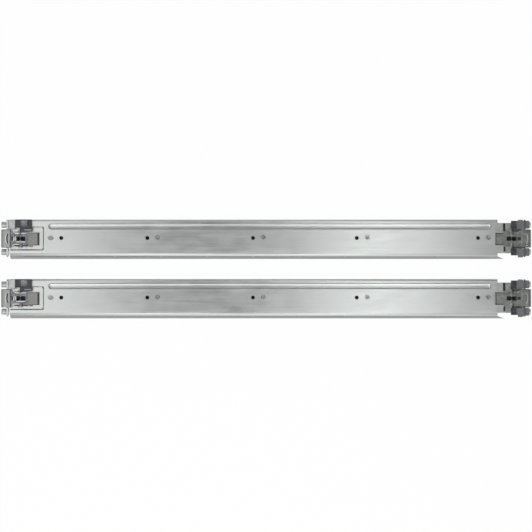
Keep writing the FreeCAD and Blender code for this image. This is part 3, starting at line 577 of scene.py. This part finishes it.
def apply_modifiers(piece: Piece) -> None:
    """Applies every modifier of a piece, in order."""
    pick(piece)
    for name in [modifier.name for modifier in piece.modifiers]:
        bpy.ops.object.modifier_apply(modifier=name)


def tidy_mesh(piece: Piece) -> None:
    """Merges doubles and points the faces outwards."""
    pick(piece)
    enter("EDIT")
    bpy.ops.mesh.select_all(action="SELECT")
    bpy.ops.mesh.remove_doubles(threshold=MERGE_MM * MM)
    bpy.ops.mesh.normals_make_consistent(inside=False)
    enter("OBJECT")


def smooth(piece: Piece, angle: float = 35.0) -> None:
    """Shades a piece smooth below an angle in degrees."""
    pick(piece)
    bpy.ops.object.shade_smooth_by_angle(angle=math.radians(angle))


def bevelled(piece: Piece, width_mm: float, angle: float = 40.0) -> bpy.types.Modifier:
    """Adds a bevel along the edges of a piece that turn by more than an angle in degrees."""
    edge = piece.modifiers.new("edges", "BEVEL")
    edge.width = width_mm * MM
    edge.segments = BEVEL_STEPS
    edge.limit_method = "ANGLE"
    edge.angle_limit = math.radians(angle)
    return edge


def sink_top(piece: Piece, *steps_mm: Double) -> None:
    """Insets the upward faces of a piece, one step after another.

    Args:
        piece: the object, in object mode.
        steps_mm: the width of each step and its rise, which is negative where it sinks.
    """
    pick(piece)
    enter("EDIT")
    bpy.ops.mesh.select_mode(type="FACE")
    bpy.ops.mesh.select_all(action="DESELECT")
    enter("OBJECT")
    for face in piece.data.polygons:
        face.select = face.normal.z > UPWARD
    enter("EDIT")
    for width, rise in steps_mm:
        bpy.ops.mesh.inset(thickness=width * MM, depth=rise * MM)
    enter("OBJECT")


def block(low: Vector, high: Vector) -> Piece:
    """A plain block between two corners, to work on."""
    deselect()
    bpy.ops.mesh.primitive_cube_add(size=1.0)
    piece = settle(bpy.context.object)
    size = Matrix.Diagonal((*(high - low), 1.0))
    piece.data.transform(Matrix.Translation((low + high) / 2) @ size)
    return piece


def disc(sides: int, radius_mm: float, depth_mm: float, narrow: float = 1.0) -> Piece:
    """A plain disc about the origin, to work on.

    Args:
        sides: sides of its outline.
        radius_mm: radius along x.
        depth_mm: its whole depth.
        narrow: share of the radius that is left along y.

    Returns:
        The disc.
    """
    deselect()
    bpy.ops.mesh.primitive_cylinder_add(vertices=sides, radius=radius_mm * MM, depth=depth_mm * MM)
    piece = settle(bpy.context.object)
    piece.data.transform(Matrix.Scale(narrow, 4, Vector((0.0, 1.0, 0.0))))
    return piece


def copied(piece: Piece, name: str, shift: Vector) -> Piece:
    """A copy of a settled piece with its own mesh, moved in its mesh."""
    twin = piece.copy()
    twin.data = piece.data.copy()
    twin.name = name
    twin.data.name = name
    twin.data.transform(Matrix.Translation(shift))
    bpy.context.scene.collection.objects.link(twin)
    return twin


def joined(pieces: list[Piece], name: str) -> Piece:
    """Several pieces joined into one mesh."""
    deselect()
    for piece in pieces:
        piece.select_set(True)
    bpy.context.view_layer.objects.active = pieces[0]
    if len(pieces) > 1:
        bpy.ops.object.join()
    whole = bpy.context.object
    whole.name = name
    whole.data.name = name
    return whole


# ---- the frame's own pieces ----
@dataclass
class FrameDress:
    """Finish and broken edges of the rigid nodes."""

    finishes: FinishSet
    edge_angle: float = 32.0
    edge_mm: dict[str, float] = field(default_factory=lambda: {
        "outer_rail": 0.45, "slide_outer": 0.12, "slide_stop": 0.25, "front_bracket": 0.22,
        "front_pin_block": 0.25, "front_pins": 0.12, "front_guard": 0.30, "front_axle": 0.10,
        "front_hook": 0.28, "depth_arm": 0.14, "rear_bracket": 0.22, "rear_pin_blocks": 0.40,
        "rear_pins": 0.12, "rear_collars": 0.20, "rear_axle": 0.10, "rear_hook": 0.28,
        "slide_middle": 0.10, "slide_inner": 0.14, "release_lever": 0.14, "lever_rivet": 0.12,
        "rail_rivets": 0.15})
    own_finish: dict[str, str] = field(default_factory=lambda: {
        # the pressed sheet paints shade on the outer rail's lower flange and bend
        "outer_rail": "pressed_sheet", "slide_middle": "greased_steel",
        # the middle slide, on the line above, and the cages take near-black steel as painted shade
        "outer_cage": "greased_steel", "inner_cage": "greased_steel",
        "front_hook": "hook_cast", "rear_hook": "rear_hook_cast",
        "front_pin_block": "pale_cast", "front_pins": "pale_cast",
        # the rear pin blocks and collars take a finish with painted light and shade across them
        "rear_bracket": "rear_plate", "rear_pin_blocks": "rear_block",
        "rear_collars": "rear_block"})

    def soften(self, node: Piece, width_mm: float) -> None:
        """Breaks the sharp edges of a node with live modifiers.

        Args:
            node: the rigid node, whose own mesh stays as it is.
            width_mm: width of the broken edge.
        """
        weld = node.modifiers.new("merge", "WELD")
        weld.merge_threshold = MERGE_MM * MM
        bevel = bevelled(node, width_mm, self.edge_angle)
        bevel.use_clamp_overlap = True
        bevel.harden_normals = True

    def dress(self, frame: dict) -> None:
        """Dresses every node by its slot in the record."""
        slots = {sub["node"]: Slot(sub["material_slot"]) for sub in frame["record"]["subparts"]}
        for name, node in frame["nodes"].items():
            kind = name.split("_", 1)[1] if name != "rail_rivets" else name
            self.finishes.put(node, self.own_finish.get(kind, slots[name]))
            if kind in self.edge_mm:
                self.soften(node, self.edge_mm[kind])
            LOG.info("dressed %s as %s", name, slots[name].value)


# ---- hook springs ----
@dataclass
class HookSpring:
    """Torsion spring on the axle of a hook, wound from round wire."""

    finishes: FinishSet
    wire_r_mm: float = 0.35
    coil_r_mm: float = 2.1
    turns: float = 4.5
    lower_leg_mm: float = 4.4
    upper_leg_mm: float = 4.6
    turn_steps: int = 22
    wire_sides: int = 10
    pitch_share: float = 1.12

    def build(self, rail: str, end: End) -> Piece:
        """Winds one spring in the place of the plain one.

        Args:
            rail: which rail of the pair.
            end: which end of the rail.

        Returns:
            The spring.
        """
        where = end.name.lower()
        low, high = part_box(f"{rail}_{where}_axle")
        axis = (low + high) / 2
        plain_low, plain_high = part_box(f"{rail}_{where}_spring")
        middle_y = (plain_low.y + plain_high.y) / 2
        pitch = 2 * self.wire_r_mm * MM * self.pitch_share
        length = self.turns * pitch
        deselect()
        bpy.ops.mesh.primitive_circle_add(vertices=self.wire_sides, radius=self.wire_r_mm * MM,
                                          fill_type="NOTHING",
                                          location=(0.0, -length / 2, -self.coil_r_mm * MM),
                                          rotation=(0.0, math.radians(90.0), 0.0))
        spring = settle(bpy.context.object)
        winding = spring.modifiers.new("winding", "SCREW")
        winding.axis = "Y"
        winding.angle = math.radians(360.0 * self.turns)
        winding.screw_offset = length
        winding.steps = int(self.turn_steps * self.turns)
        winding.render_steps = winding.steps
        winding.use_merge_vertices = False
        apply_modifiers(spring)
        self.draw_legs(spring)
        tidy_mesh(spring)
        if end is End.FRONT:
            spring.data.transform(Matrix.Scale(-1.0, 4, Vector((1.0, 0.0, 0.0))))
            tidy_mesh(spring)
        spring.data.transform(Matrix.Translation((axis.x, middle_y, axis.z)))
        spring.name = f"{rail}_{where}_hook_spring"
        smooth(spring, 60.0)
        self.finishes.put(spring, Slot.SPRING)
        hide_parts(f"{rail}_{where}_spring")
        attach(spring, "root" if end is End.FRONT else f"{rail}_arm")
        return spring

    def draw_legs(self, spring: Piece) -> None:
        """Draws both ends of the wire out along +x, and closes them."""
        top = self.coil_r_mm * MM
        for height, reach in ((-top, self.lower_leg_mm * MM), (top, self.upper_leg_mm * MM)):
            pick(spring)
            enter("EDIT")
            bpy.ops.mesh.select_mode(type="EDGE")
            bpy.ops.mesh.select_all(action="DESELECT")
            bpy.ops.mesh.select_non_manifold(
                extend=False, use_wire=False, use_boundary=True, use_multi_face=False,
                use_non_contiguous=False, use_verts=False)
            enter("OBJECT")
            for vertex in spring.data.vertices:
                if abs(vertex.co.z - height) > 2 * self.wire_r_mm * MM:
                    vertex.select = False
            for edge in spring.data.edges:
                ends = [spring.data.vertices[index] for index in edge.vertices]
                edge.select = edge.select and all(vertex.select for vertex in ends)
            enter("EDIT")
            bpy.ops.mesh.extrude_edges_move(TRANSFORM_OT_translate={"value": (reach, 0.0, 0.0)})
            bpy.ops.mesh.edge_face_add()
            enter("OBJECT")


# ---- balls ----
@dataclass
class BallRows:
    """Full rows of hardened balls in both cages of a rail."""

    finishes: FinishSet
    per_row: int = 13
    rounds: int = 3

    def build(self, rail: str, cage: str) -> Piece:
        """Fills one cage.

        Args:
            rail: which rail of the pair.
            cage: outer or inner.

        Returns:
            All balls of the cage as one mesh.
        """
        low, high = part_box(f"{rail}_{cage}_balls")
        radius = (high.z - low.z) / 2
        height = (high.z + low.z) / 2
        deselect()
        bpy.ops.mesh.primitive_cube_add(
            size=2 * radius, location=(low.x + radius, low.y + radius, height))
        first = settle(bpy.context.object)
        dice = first.modifiers.new("dice", "SUBSURF")
        dice.levels = self.rounds
        dice.render_levels = self.rounds
        dice.subdivision_type = "SIMPLE"
        round_off = first.modifiers.new("round", "CAST")
        round_off.cast_type = "SPHERE"
        round_off.factor = 1.0
        round_off.radius = radius
        round_off.use_radius_as_size = True
        round_off.size = radius
        bpy.context.view_layer.update()
        first.data.transform(Matrix.Translation((-low.x - radius, -low.y - radius, -height)))
        apply_modifiers(first)
        step = (high.x - low.x - 2 * radius) / (self.per_row - 1)
        balls = []
        for index in range(self.per_row):
            for y in (low.y + radius, high.y - radius):
                place = Vector((low.x + radius + index * step, y, height))
                balls.append(copied(first, "ball", place))
        bpy.data.objects.remove(first)
        rows = joined(balls, f"{rail}_{cage}_ball_rows")
        smooth(rows, 180.0)
        self.finishes.put(rows, Slot.BALL)
        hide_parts(f"{rail}_{cage}_balls")
        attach(rows, f"{rail}_{cage}_cage")
        return rows


# ---- hook trim ----
@dataclass(frozen=True)
class Bar:
    """A small raised bar, stated from the hook axle and the rail's centre line.

    Each station is a distance from the axle toward the post and one across the rail, in
    millimetres; foot and top are heights above the axle.  The bar is drawn from its first
    station to its last, flat across x or, with along_y, flat across y.
    """

    stations: tuple[Double, ...]
    width: float
    foot: float
    top: float
    along_y: bool = False


@dataclass
class HookTrim:
    """Raised rims and glints of the cast hooks in a painted highlight finish, near-black bars on
    them that paint the shade in their gaps, and near-black plates under them that paint shade.
    """

    finishes: FinishSet
    broken_mm: float = 0.14
    # raised rims of the front hook, in the painted highlight finish
    front_rims: tuple[Bar, ...] = (
        Bar(((-6.4, 6.0), (5.6, 6.0), (8.9, 8.6)), 1.2, 0.85, 2.5),
        Bar(((-5.6, -4.0), (4.8, -4.0)), 0.9, 2.3, 2.8),
        Bar(((0.4, -6.9), (7.2, -6.9), (9.6, -8.8)), 1.0, 0.85, 2.3),
        Bar(((7.2, -0.4), (8.2, -0.4)), 5.0, 2.3, 2.85),
        Bar(((16.1, -5.6), (16.9, -3.0), (17.2, -0.3), (16.9, 2.4), (16.1, 5.0)),
            0.9, 3.1, 3.62, True))
    # near-black bars on the front hook that paint the shade in its slot, its gaps and round its
    # tongue
    front_hollows: tuple[Bar, ...] = (
        Bar(((8.5, -0.4), (10.5, -0.4)), 4.5, 2.25, 2.5),
        Bar(((9.6, -0.3), (17.2, -0.3)), 12.4, 0.12, 0.42),
        Bar(((-9.3, -8.6), (6.6, -8.6)), 1.2, 0.6, 1.08),
        Bar(((-22.2, -0.7), (-8.0, -0.7)), 15.0, -1.3, -0.95),
        Bar(((-21.4, -0.7), (-19.8, -0.7)), 12.2, -0.1, 0.26))
    # raised rim and glint bars of the rear hook, in the painted highlight finish
    rear_rims: tuple[Bar, ...] = (
        Bar(((17.4, -6.2), (18.5, -3.3), (18.9, -0.2), (18.5, 2.9), (17.4, 5.8)),
            0.55, 3.1, 3.55, True),
        Bar(((6.8, 6.1), (9.8, 8.8)), 0.7, 2.0, 2.9),
        Bar(((16.8, -8.4), (18.6, -8.4)), 0.6, 3.1, 3.5))
    # near-black bars on the rear hook that paint the shade round its tongue and in its slot
    rear_hollows: tuple[Bar, ...] = (
        Bar(((-19.0, -0.7), (-8.0, -0.7)), 15.0, -1.3, -0.95),
        Bar(((-18.9, -0.7), (-17.6, -0.7)), 12.6, -0.1, 0.26),
        Bar(((-18.2, 6.0), (-8.6, 6.3)), 0.9, -0.1, 0.26),
        Bar(((-18.2, -7.2), (-8.6, -7.6)), 1.0, -0.1, 0.26),
        Bar(((7.2, -0.4), (10.6, -0.4)), 3.6, 2.25, 2.52))
    # near-black strips and plate under the hooks: painted shade in the gaps below them
    front_gap_shade_strip: Bar = Bar(((-14.6, -9.0), (-10.2, -9.0)), 1.1, -2.6, -1.3)
    cradle: Bar = Bar(((-6.0, -0.4), (7.2, -0.4)), 5.6, -3.6, -2.75)
    rear_gap_shade_strips: tuple[Bar, ...] = (
        Bar(((-9.8, 12.9), (-7.2, 12.9)), 9.0, -3.2, -2.0),
        Bar(((-9.2, -12.7), (-7.2, -12.7)), 5.8, -3.2, -2.0))

    def bar(self, shape: Bar, end: End) -> Piece:
        """Draws one bar out from its first station to its last.

        Args:
            shape: the bar.
            end: which end of the rail it is for.

        Returns:
            The bar about the axle, closed and with broken edges.
        """
        points = [Vector((end.value * u * MM, y * MM, (shape.foot + shape.top) / 2 * MM))
                  for u, y in shape.stations]
        turn = (math.radians(90.0), 0.0, 0.0) if shape.along_y else (0.0, math.radians(90.0), 0.0)
        deselect()
        bpy.ops.mesh.primitive_plane_add(size=1.0, rotation=turn)
        piece = settle(bpy.context.object)
        wide = (shape.width * MM, 1.0) if shape.along_y else (1.0, shape.width * MM)
        size = Matrix.Diagonal((*wide, (shape.top - shape.foot) * MM, 1.0))
        piece.data.transform(Matrix.Translation(points[0]) @ size)
        pick(piece)
        enter("EDIT")
        bpy.ops.mesh.select_mode(type="FACE")
        bpy.ops.mesh.select_all(action="SELECT")
        for before, after in zip(points, points[1:]):
            bpy.ops.mesh.extrude_region_move(TRANSFORM_OT_translate={"value": after - before})
        enter("OBJECT")
        tidy_mesh(piece)
        bevelled(piece, self.broken_mm)
        apply_modifiers(piece)
        return piece

    def group(self, bars: tuple[Bar, ...], end: End, name: str, at: Vector) -> Piece:
        """Joins several bars into one piece at the axle."""
        whole = joined([self.bar(shape, end) for shape in bars], name)
        whole.data.transform(Matrix.Translation(at))
        smooth(whole)
        return whole

    def build(self, rail: str, end: End, centre_y: float) -> list[Piece]:
        """Trims one hook.

        Args:
            rail: which rail of the pair.
            end: which end of the rail.
            centre_y: height of the rail's centre line.

        Returns:
            The painted highlight rims and the painted shade bars, which ride the hook, and the
            painted shade under it.
        """
        where = end.name.lower()
        low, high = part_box(f"{rail}_{where}_axle")
        axle = (low + high) / 2
        at = Vector((axle.x, centre_y, axle.z))
        hook = f"{rail}_{where}_hook"
        carrier = "root" if end is End.FRONT else f"{rail}_arm"
        front = end is End.FRONT
        shades_under_hook = (self.cradle, self.front_gap_shade_strip) if front else (self.cradle, *self.rear_gap_shade_strips)
        rims = self.front_rims if front else self.rear_rims
        hollows = self.front_hollows if front else self.rear_hollows
        # rims take the painted highlight finish; bars and the plates under the hook take near-black
        # plastic as painted shade
        parts = [(rims, "rims", "rubbed_edge", hook, Slot.CAST),
                 (hollows, "hollows", "dark_gap", hook, Slot.CAST),
                 (shades_under_hook, "cradle", "dark_gap", carrier, Slot.PLASTIC)]
        made = []
        for bars, suffix, finish, body, slot in parts:
            piece = self.group(bars, end, f"{hook}_{suffix}", at)
            self.finishes.put(piece, finish)
            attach(piece, body)
            made.append(piece)
        return made


# ---- guard ----
@dataclass
class GuardTray:
    """The moulded tray in the window of the front guard, and the rib below it, both in a pale grey
    made paler as painted light.

    inner_mm, outer_mm, top_mm and low_mm place the tray's four sides.  rib_mm holds where the
    rib starts and ends from the guard's inner side, and its lower and upper edge.
    """

    finishes: FinishSet
    inner_mm: float = 6.0
    outer_mm: float = 5.6
    top_mm: float = 1.0
    low_mm: float = 13.2
    floor_mm: float = 0.9
    lift_mm: float = 0.1
    wall_mm: float = 0.7
    draft_mm: float = 0.15
    sink_mm: float = 0.5
    rib_mm: tuple[float, float, float, float] = (1.2, 9.6, 9.4, 10.4)
    rib_rise_mm: float = 0.35
    rib_foot_mm: float = 0.05
    band_drop_mm: float = 0.6
    tray_edge_mm: float = 0.12
    rib_edge_mm: float = 0.16

    def rib(self, high: Vector, centre_y: float) -> Piece:
        """Moulds the rib on the guard's lower band.

        Args:
            high: highest corner of the guard.
            centre_y: height of the rail's centre line.

        Returns:
            The rib.
        """
        start, end, bottom, top = self.rib_mm
        band_top = high.z - self.band_drop_mm * MM
        rib = block(
            Vector((high.x - end * MM, centre_y + bottom * MM, band_top - self.rib_foot_mm * MM)),
            Vector((high.x - start * MM, centre_y + top * MM, band_top + self.rib_rise_mm * MM)))
        bevelled(rib, self.rib_edge_mm)
        apply_modifiers(rib)
        return rib

    def build(self, rail: str, centre_y: float, web_top: float) -> Piece:
        """Moulds the tray of one rail.

        Args:
            rail: which rail of the pair.
            centre_y: height of the rail's centre line.
            web_top: level of the web.

        Returns:
            The tray.
        """
        low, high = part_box(f"{rail}_front_guard")
        foot = web_top + self.lift_mm * MM
        tray = block(
            Vector((low.x + self.outer_mm * MM, centre_y + self.low_mm * MM, foot)),
            Vector((high.x - self.inner_mm * MM, high.y - self.top_mm * MM,
                    foot + self.floor_mm * MM)))
        sink_top(tray, (self.wall_mm, 0.0), (self.draft_mm, -self.sink_mm))
        bevelled(tray, self.tray_edge_mm)
        apply_modifiers(tray)
        tray = joined([tray, self.rib(high, centre_y)], f"{rail}_guard_tray")
        smooth(tray)
        # pale grey, made paler as painted light
        self.finishes.put(tray, "grey_plastic")
        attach(tray, "root")
        return tray


# ---- rivet heads and stake marks ----
@dataclass
class RivetDishes:
    """Rolled rims round the dished heads of the rivets, and the oval head at the front."""

    finishes: FinishSet
    xs_mm: tuple[float, ...] = (-126.3, -3.3, 117.8, 258.3)
    y_mm: float = 1.0
    sides: int = 28
    rim_r_mm: float = 2.15
    rim_rise_mm: float = 0.22
    seat_mm: float = 0.02
    dish_r_mm: float = 1.35
    dish_sink_mm: float = 0.16
    crest_share: float = 0.45
    rolled_mm: float = 0.09
    rolled_angle: float = 35.0
    flat_at_mm: Double = (-250.4, 0.4)
    flat_sides: int = 36
    flat_r_mm: Double = (3.35, 2.45)
    flat_rise_mm: float = 0.10
    flat_step_mm: Double = (0.5, -0.06)

    def flat(self, rail: str, centre_y: float, top_z: float) -> Piece:
        """Sets the worn oval head of one rail.

        Args:
            rail: which rail of the pair.
            centre_y: height of the rail's centre line.
            top_z: level of the rivet heads.

        Returns:
            The head.
        """
        long_r, short_r = self.flat_r_mm
        head = disc(self.flat_sides, long_r, 2 * self.flat_rise_mm, short_r / long_r)
        sink_top(head, self.flat_step_mm)
        x, y = self.flat_at_mm
        head.data.transform(Matrix.Translation((x * MM, centre_y + y * MM, top_z)))
        head.name = f"{rail}_oval_head"
        smooth(head)
        self.finishes.put(head, "dull_head")
        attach(head, "root")
        return head

    def build(self, rail: str, centre_y: float, top_z: float) -> Piece:
        """Rolls the rims of one rail.

        Args:
            rail: which rail of the pair.
            centre_y: height of the rail's centre line.
            top_z: level of the rivet heads.

        Returns:
            The rims as one mesh.
        """
        dish = disc(self.sides, self.rim_r_mm, self.rim_rise_mm)
        rise = (self.rim_rise_mm / 2 + self.seat_mm) * MM
        dish.data.transform(Matrix.Translation((0.0, 0.0, rise)))
        rim = self.rim_r_mm - self.dish_r_mm
        sink_top(dish, (rim * self.crest_share, 0.0),
                 (rim * (1.0 - self.crest_share), -self.dish_sink_mm))
        bevelled(dish, self.rolled_mm, self.rolled_angle)
        apply_modifiers(dish)
        places = [Vector((x * MM, centre_y + self.y_mm * MM, top_z)) for x in self.xs_mm]
        rims = joined([copied(dish, "dish", place) for place in places], f"{rail}_rivet_dishes")
        bpy.data.objects.remove(dish)
        smooth(rims)
        self.finishes.put(rims, "dull_head")
        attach(rims, "root")
        return rims


@dataclass
class StakeMarks:
    """Small staked dimples spaced along the lower bend."""

    finishes: FinishSet
    first_mm: float = -283.8
    pitch_mm: float = 53.75
    count: int = 10
    length_mm: float = 2.6
    width_mm: float = 0.9
    rise_mm: float = 0.10
    sides: int = 20
    tilt_deg: float = 52.0
    steps_mm: tuple[Double, ...] = ((0.14, 0.0), (0.12, -0.08))

    def build(self, rail: str, edge_y: float, top_z: float, bend_r: float) -> Piece:
        """Strikes the marks of one rail.

        Args:
            rail: which rail of the pair.
            edge_y: lower edge of the rail's flange.
            top_z: level of the web.
            bend_r: outer radius of the lower bend.

        Returns:
            The marks as one mesh.
        """
        mark = disc(self.sides, self.length_mm / 2, 2 * self.rise_mm,
                    self.width_mm / self.length_mm)
        sink_top(mark, *self.steps_mm)
        tilt = math.radians(self.tilt_deg)
        centre = Vector((0.0, edge_y + bend_r, top_z - bend_r))
        out = Vector((0.0, -math.sin(tilt), math.cos(tilt)))
        mark.data.transform(Matrix.Rotation(tilt, 4, "X"))
        xs = [(self.first_mm + index * self.pitch_mm) * MM for index in range(self.count)]
        spots = [centre + out * bend_r + Vector((x, 0.0, 0.0)) for x in xs]
        marks = joined([copied(mark, "stake", spot) for spot in spots], f"{rail}_stake_marks")
        bpy.data.objects.remove(mark)
        smooth(marks)
        self.finishes.put(marks, Slot.PLATE)
        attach(marks, "root")
        return marks


# ---- studio ----
@dataclass(frozen=True)
class Lamp:
    """A soft box: its place, the point that it faces, its width and height, and its watts."""

    name: str
    at: Triple
    aim: Triple
    size: Double
    power: float


@dataclass
class Studio:
    """A pale floor, soft lamps and a long lens straight overhead."""

    view_width: float = 0.6187
    centre_y: float = 0.0035
    web_height: float = 0.0151
    camera_height: float = 5.0
    sensor_mm: float = 36.0
    floor_size: float = 30.0
    floor_drop_mm: float = 0.2
    paper: float = 0.94
    glow_share: float = 0.975
    world_tone: Colour = (0.97, 0.985, 1.0)
    world_strength: float = 0.26
    lamps: tuple[Lamp, ...] = (
        Lamp("low_key", (0.0, -1.0, 0.62), (0.0, 0.0, 0.0), (1.8, 0.7), 4.4),
        Lamp("ridge_box", (0.0, -0.58, 0.85), (0.0, 0.0, 0.0), (1.8, 0.40), 2.4),
        Lamp("far_fill", (0.0, 1.0, 0.62), (0.0, 0.0, 0.0), (1.8, 0.6), 2.1),
        Lamp("front_side", (-1.0, 0.0, 0.42), (-0.3, 0.0, 0.0), (0.5, 0.8), 0.9),
        Lamp("front_box", (-0.317, -0.12, 0.5), (-0.317, -0.12, 0.0), (0.21, 0.66), 0.50),
        Lamp("rear_box", (0.146, -0.12, 0.5), (0.146, -0.12, 0.0), (0.13, 0.66), 0.48))

    def camera(self) -> None:
        """Places the camera above the pair."""
        data = bpy.data.cameras.new("camera")
        camera = bpy.data.objects.new("camera", data)
        bpy.context.scene.collection.objects.link(camera)
        data.sensor_width = self.sensor_mm
        data.lens = self.sensor_mm * (self.camera_height - self.web_height) / self.view_width
        data.clip_start, data.clip_end = 0.1, 50.0
        camera.location = (0.0, self.centre_y, self.camera_height)
        bpy.context.scene.camera = camera

    def floor(self) -> None:
        """A white floor that keeps the object's shadow."""
        deselect()
        bpy.ops.mesh.primitive_plane_add(size=self.floor_size,
                                         location=(0.0, 0.0, -self.floor_drop_mm * MM))
        floor = settle(bpy.context.object)
        floor.name = "floor"
        material = bpy.data.materials.new("white_floor")
        material.use_nodes = True
        nodes, links = material.node_tree.nodes, material.node_tree.links
        nodes.clear()
        out = nodes.new("ShaderNodeOutputMaterial")
        paper = nodes.new("ShaderNodeBsdfDiffuse")
        paper.inputs["Color"].default_value = (self.paper, self.paper, self.paper, 1.0)
        glow = nodes.new("ShaderNodeEmission")
        glow.inputs["Strength"].default_value = 1.0
        path = nodes.new("ShaderNodeLightPath")
        seen = path.outputs["Is Camera Ray"]
        for ray in ("Is Glossy Ray", "Is Transmission Ray"):
            either = nodes.new("ShaderNodeMath")
            either.operation = "ADD"
            links.new(seen, either.inputs[0])
            links.new(path.outputs[ray], either.inputs[1])
            seen = either.outputs["Value"]
        share = nodes.new("ShaderNodeMath")
        share.operation = "MULTIPLY"
        share.inputs[1].default_value = self.glow_share
        links.new(seen, share.inputs[0])
        mix = nodes.new("ShaderNodeMixShader")
        links.new(share.outputs["Value"], mix.inputs[0])
        links.new(paper.outputs["BSDF"], mix.inputs[1])
        links.new(glow.outputs["Emission"], mix.inputs[2])
        links.new(mix.outputs["Shader"], out.inputs["Surface"])
        floor.data.materials.append(material)

    def world(self) -> None:
        """Even pale surroundings."""
        world = bpy.data.worlds.new("pale_room")
        bpy.context.scene.world = world
        world.use_nodes = True
        back = world.node_tree.nodes["Background"]
        back.inputs["Color"].default_value = (*self.world_tone, 1.0)
        back.inputs["Strength"].default_value = self.world_strength

    def hang(self, lamp: Lamp) -> None:
        """Hangs one soft box."""
        data = bpy.data.lights.new(lamp.name, "AREA")
        data.shape = "RECTANGLE"
        data.size, data.size_y = lamp.size
        data.energy = lamp.power
        hung = bpy.data.objects.new(lamp.name, data)
        bpy.context.scene.collection.objects.link(hung)
        hung.location = lamp.at
        facing = Vector(lamp.aim) - Vector(lamp.at)
        hung.rotation_euler = facing.to_track_quat("-Z", "Y").to_euler()

    def build(self) -> None:
        """Sets the studio up."""
        self.camera()
        self.floor()
        self.world()
        for lamp in self.lamps:
            self.hang(lamp)
        bpy.context.scene.view_settings.view_transform = "Standard"


# ---- the pair ----
@dataclass
class RailPair:
    """Both rails with everything that dresses them."""

    finishes: FinishSet
    half_height_mm: float = 22.0
    bend_r_mm: float = 4.6

    def build(self, frame: dict) -> None:
        """Dresses the frame and adds the small pieces."""
        FrameDress(self.finishes).dress(frame)
        springs = HookSpring(self.finishes)
        trim = HookTrim(self.finishes)
        tray = GuardTray(self.finishes)
        balls = BallRows(self.finishes)
        rivets = RivetDishes(self.finishes)
        stakes = StakeMarks(self.finishes)
        head_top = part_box("rail_rivets")[1].z
        web_top = self.finishes.web_z
        bend_r = self.bend_r_mm * MM
        for rail, centre_y in zip(RAILS, self.finishes.rail_ys):
            edge_y = centre_y - self.half_height_mm * MM
            made = []
            for end in End:
                made.append(springs.build(rail, end))
                made.extend(trim.build(rail, end, centre_y))
            made.extend(balls.build(rail, cage) for cage in ("outer", "inner"))
            made.append(tray.build(rail, centre_y, web_top))
            made.append(rivets.build(rail, centre_y, head_top))
            made.append(rivets.flat(rail, centre_y, head_top))
            made.append(stakes.build(rail, edge_y, web_top, bend_r))
            for piece in made:
                LOG.info("made %s", piece.name)


def main() -> None:
    """Loads the frame, dresses it and sets up the studio."""
    logging.basicConfig(level=logging.INFO, format="%(name)s: %(message)s")
    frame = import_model()
    Studio().build()
    rail_ys = tuple(sum(corner.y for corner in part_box(f"{rail}_slide_outer")) / 2
                    for rail in RAILS)
    web_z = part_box("rail_rivets")[1].z - HEAD_RISE_MM * MM
    RailPair(FinishSet(rail_ys, web_z).build()).build(frame)


if __name__ == "__main__":
    main()
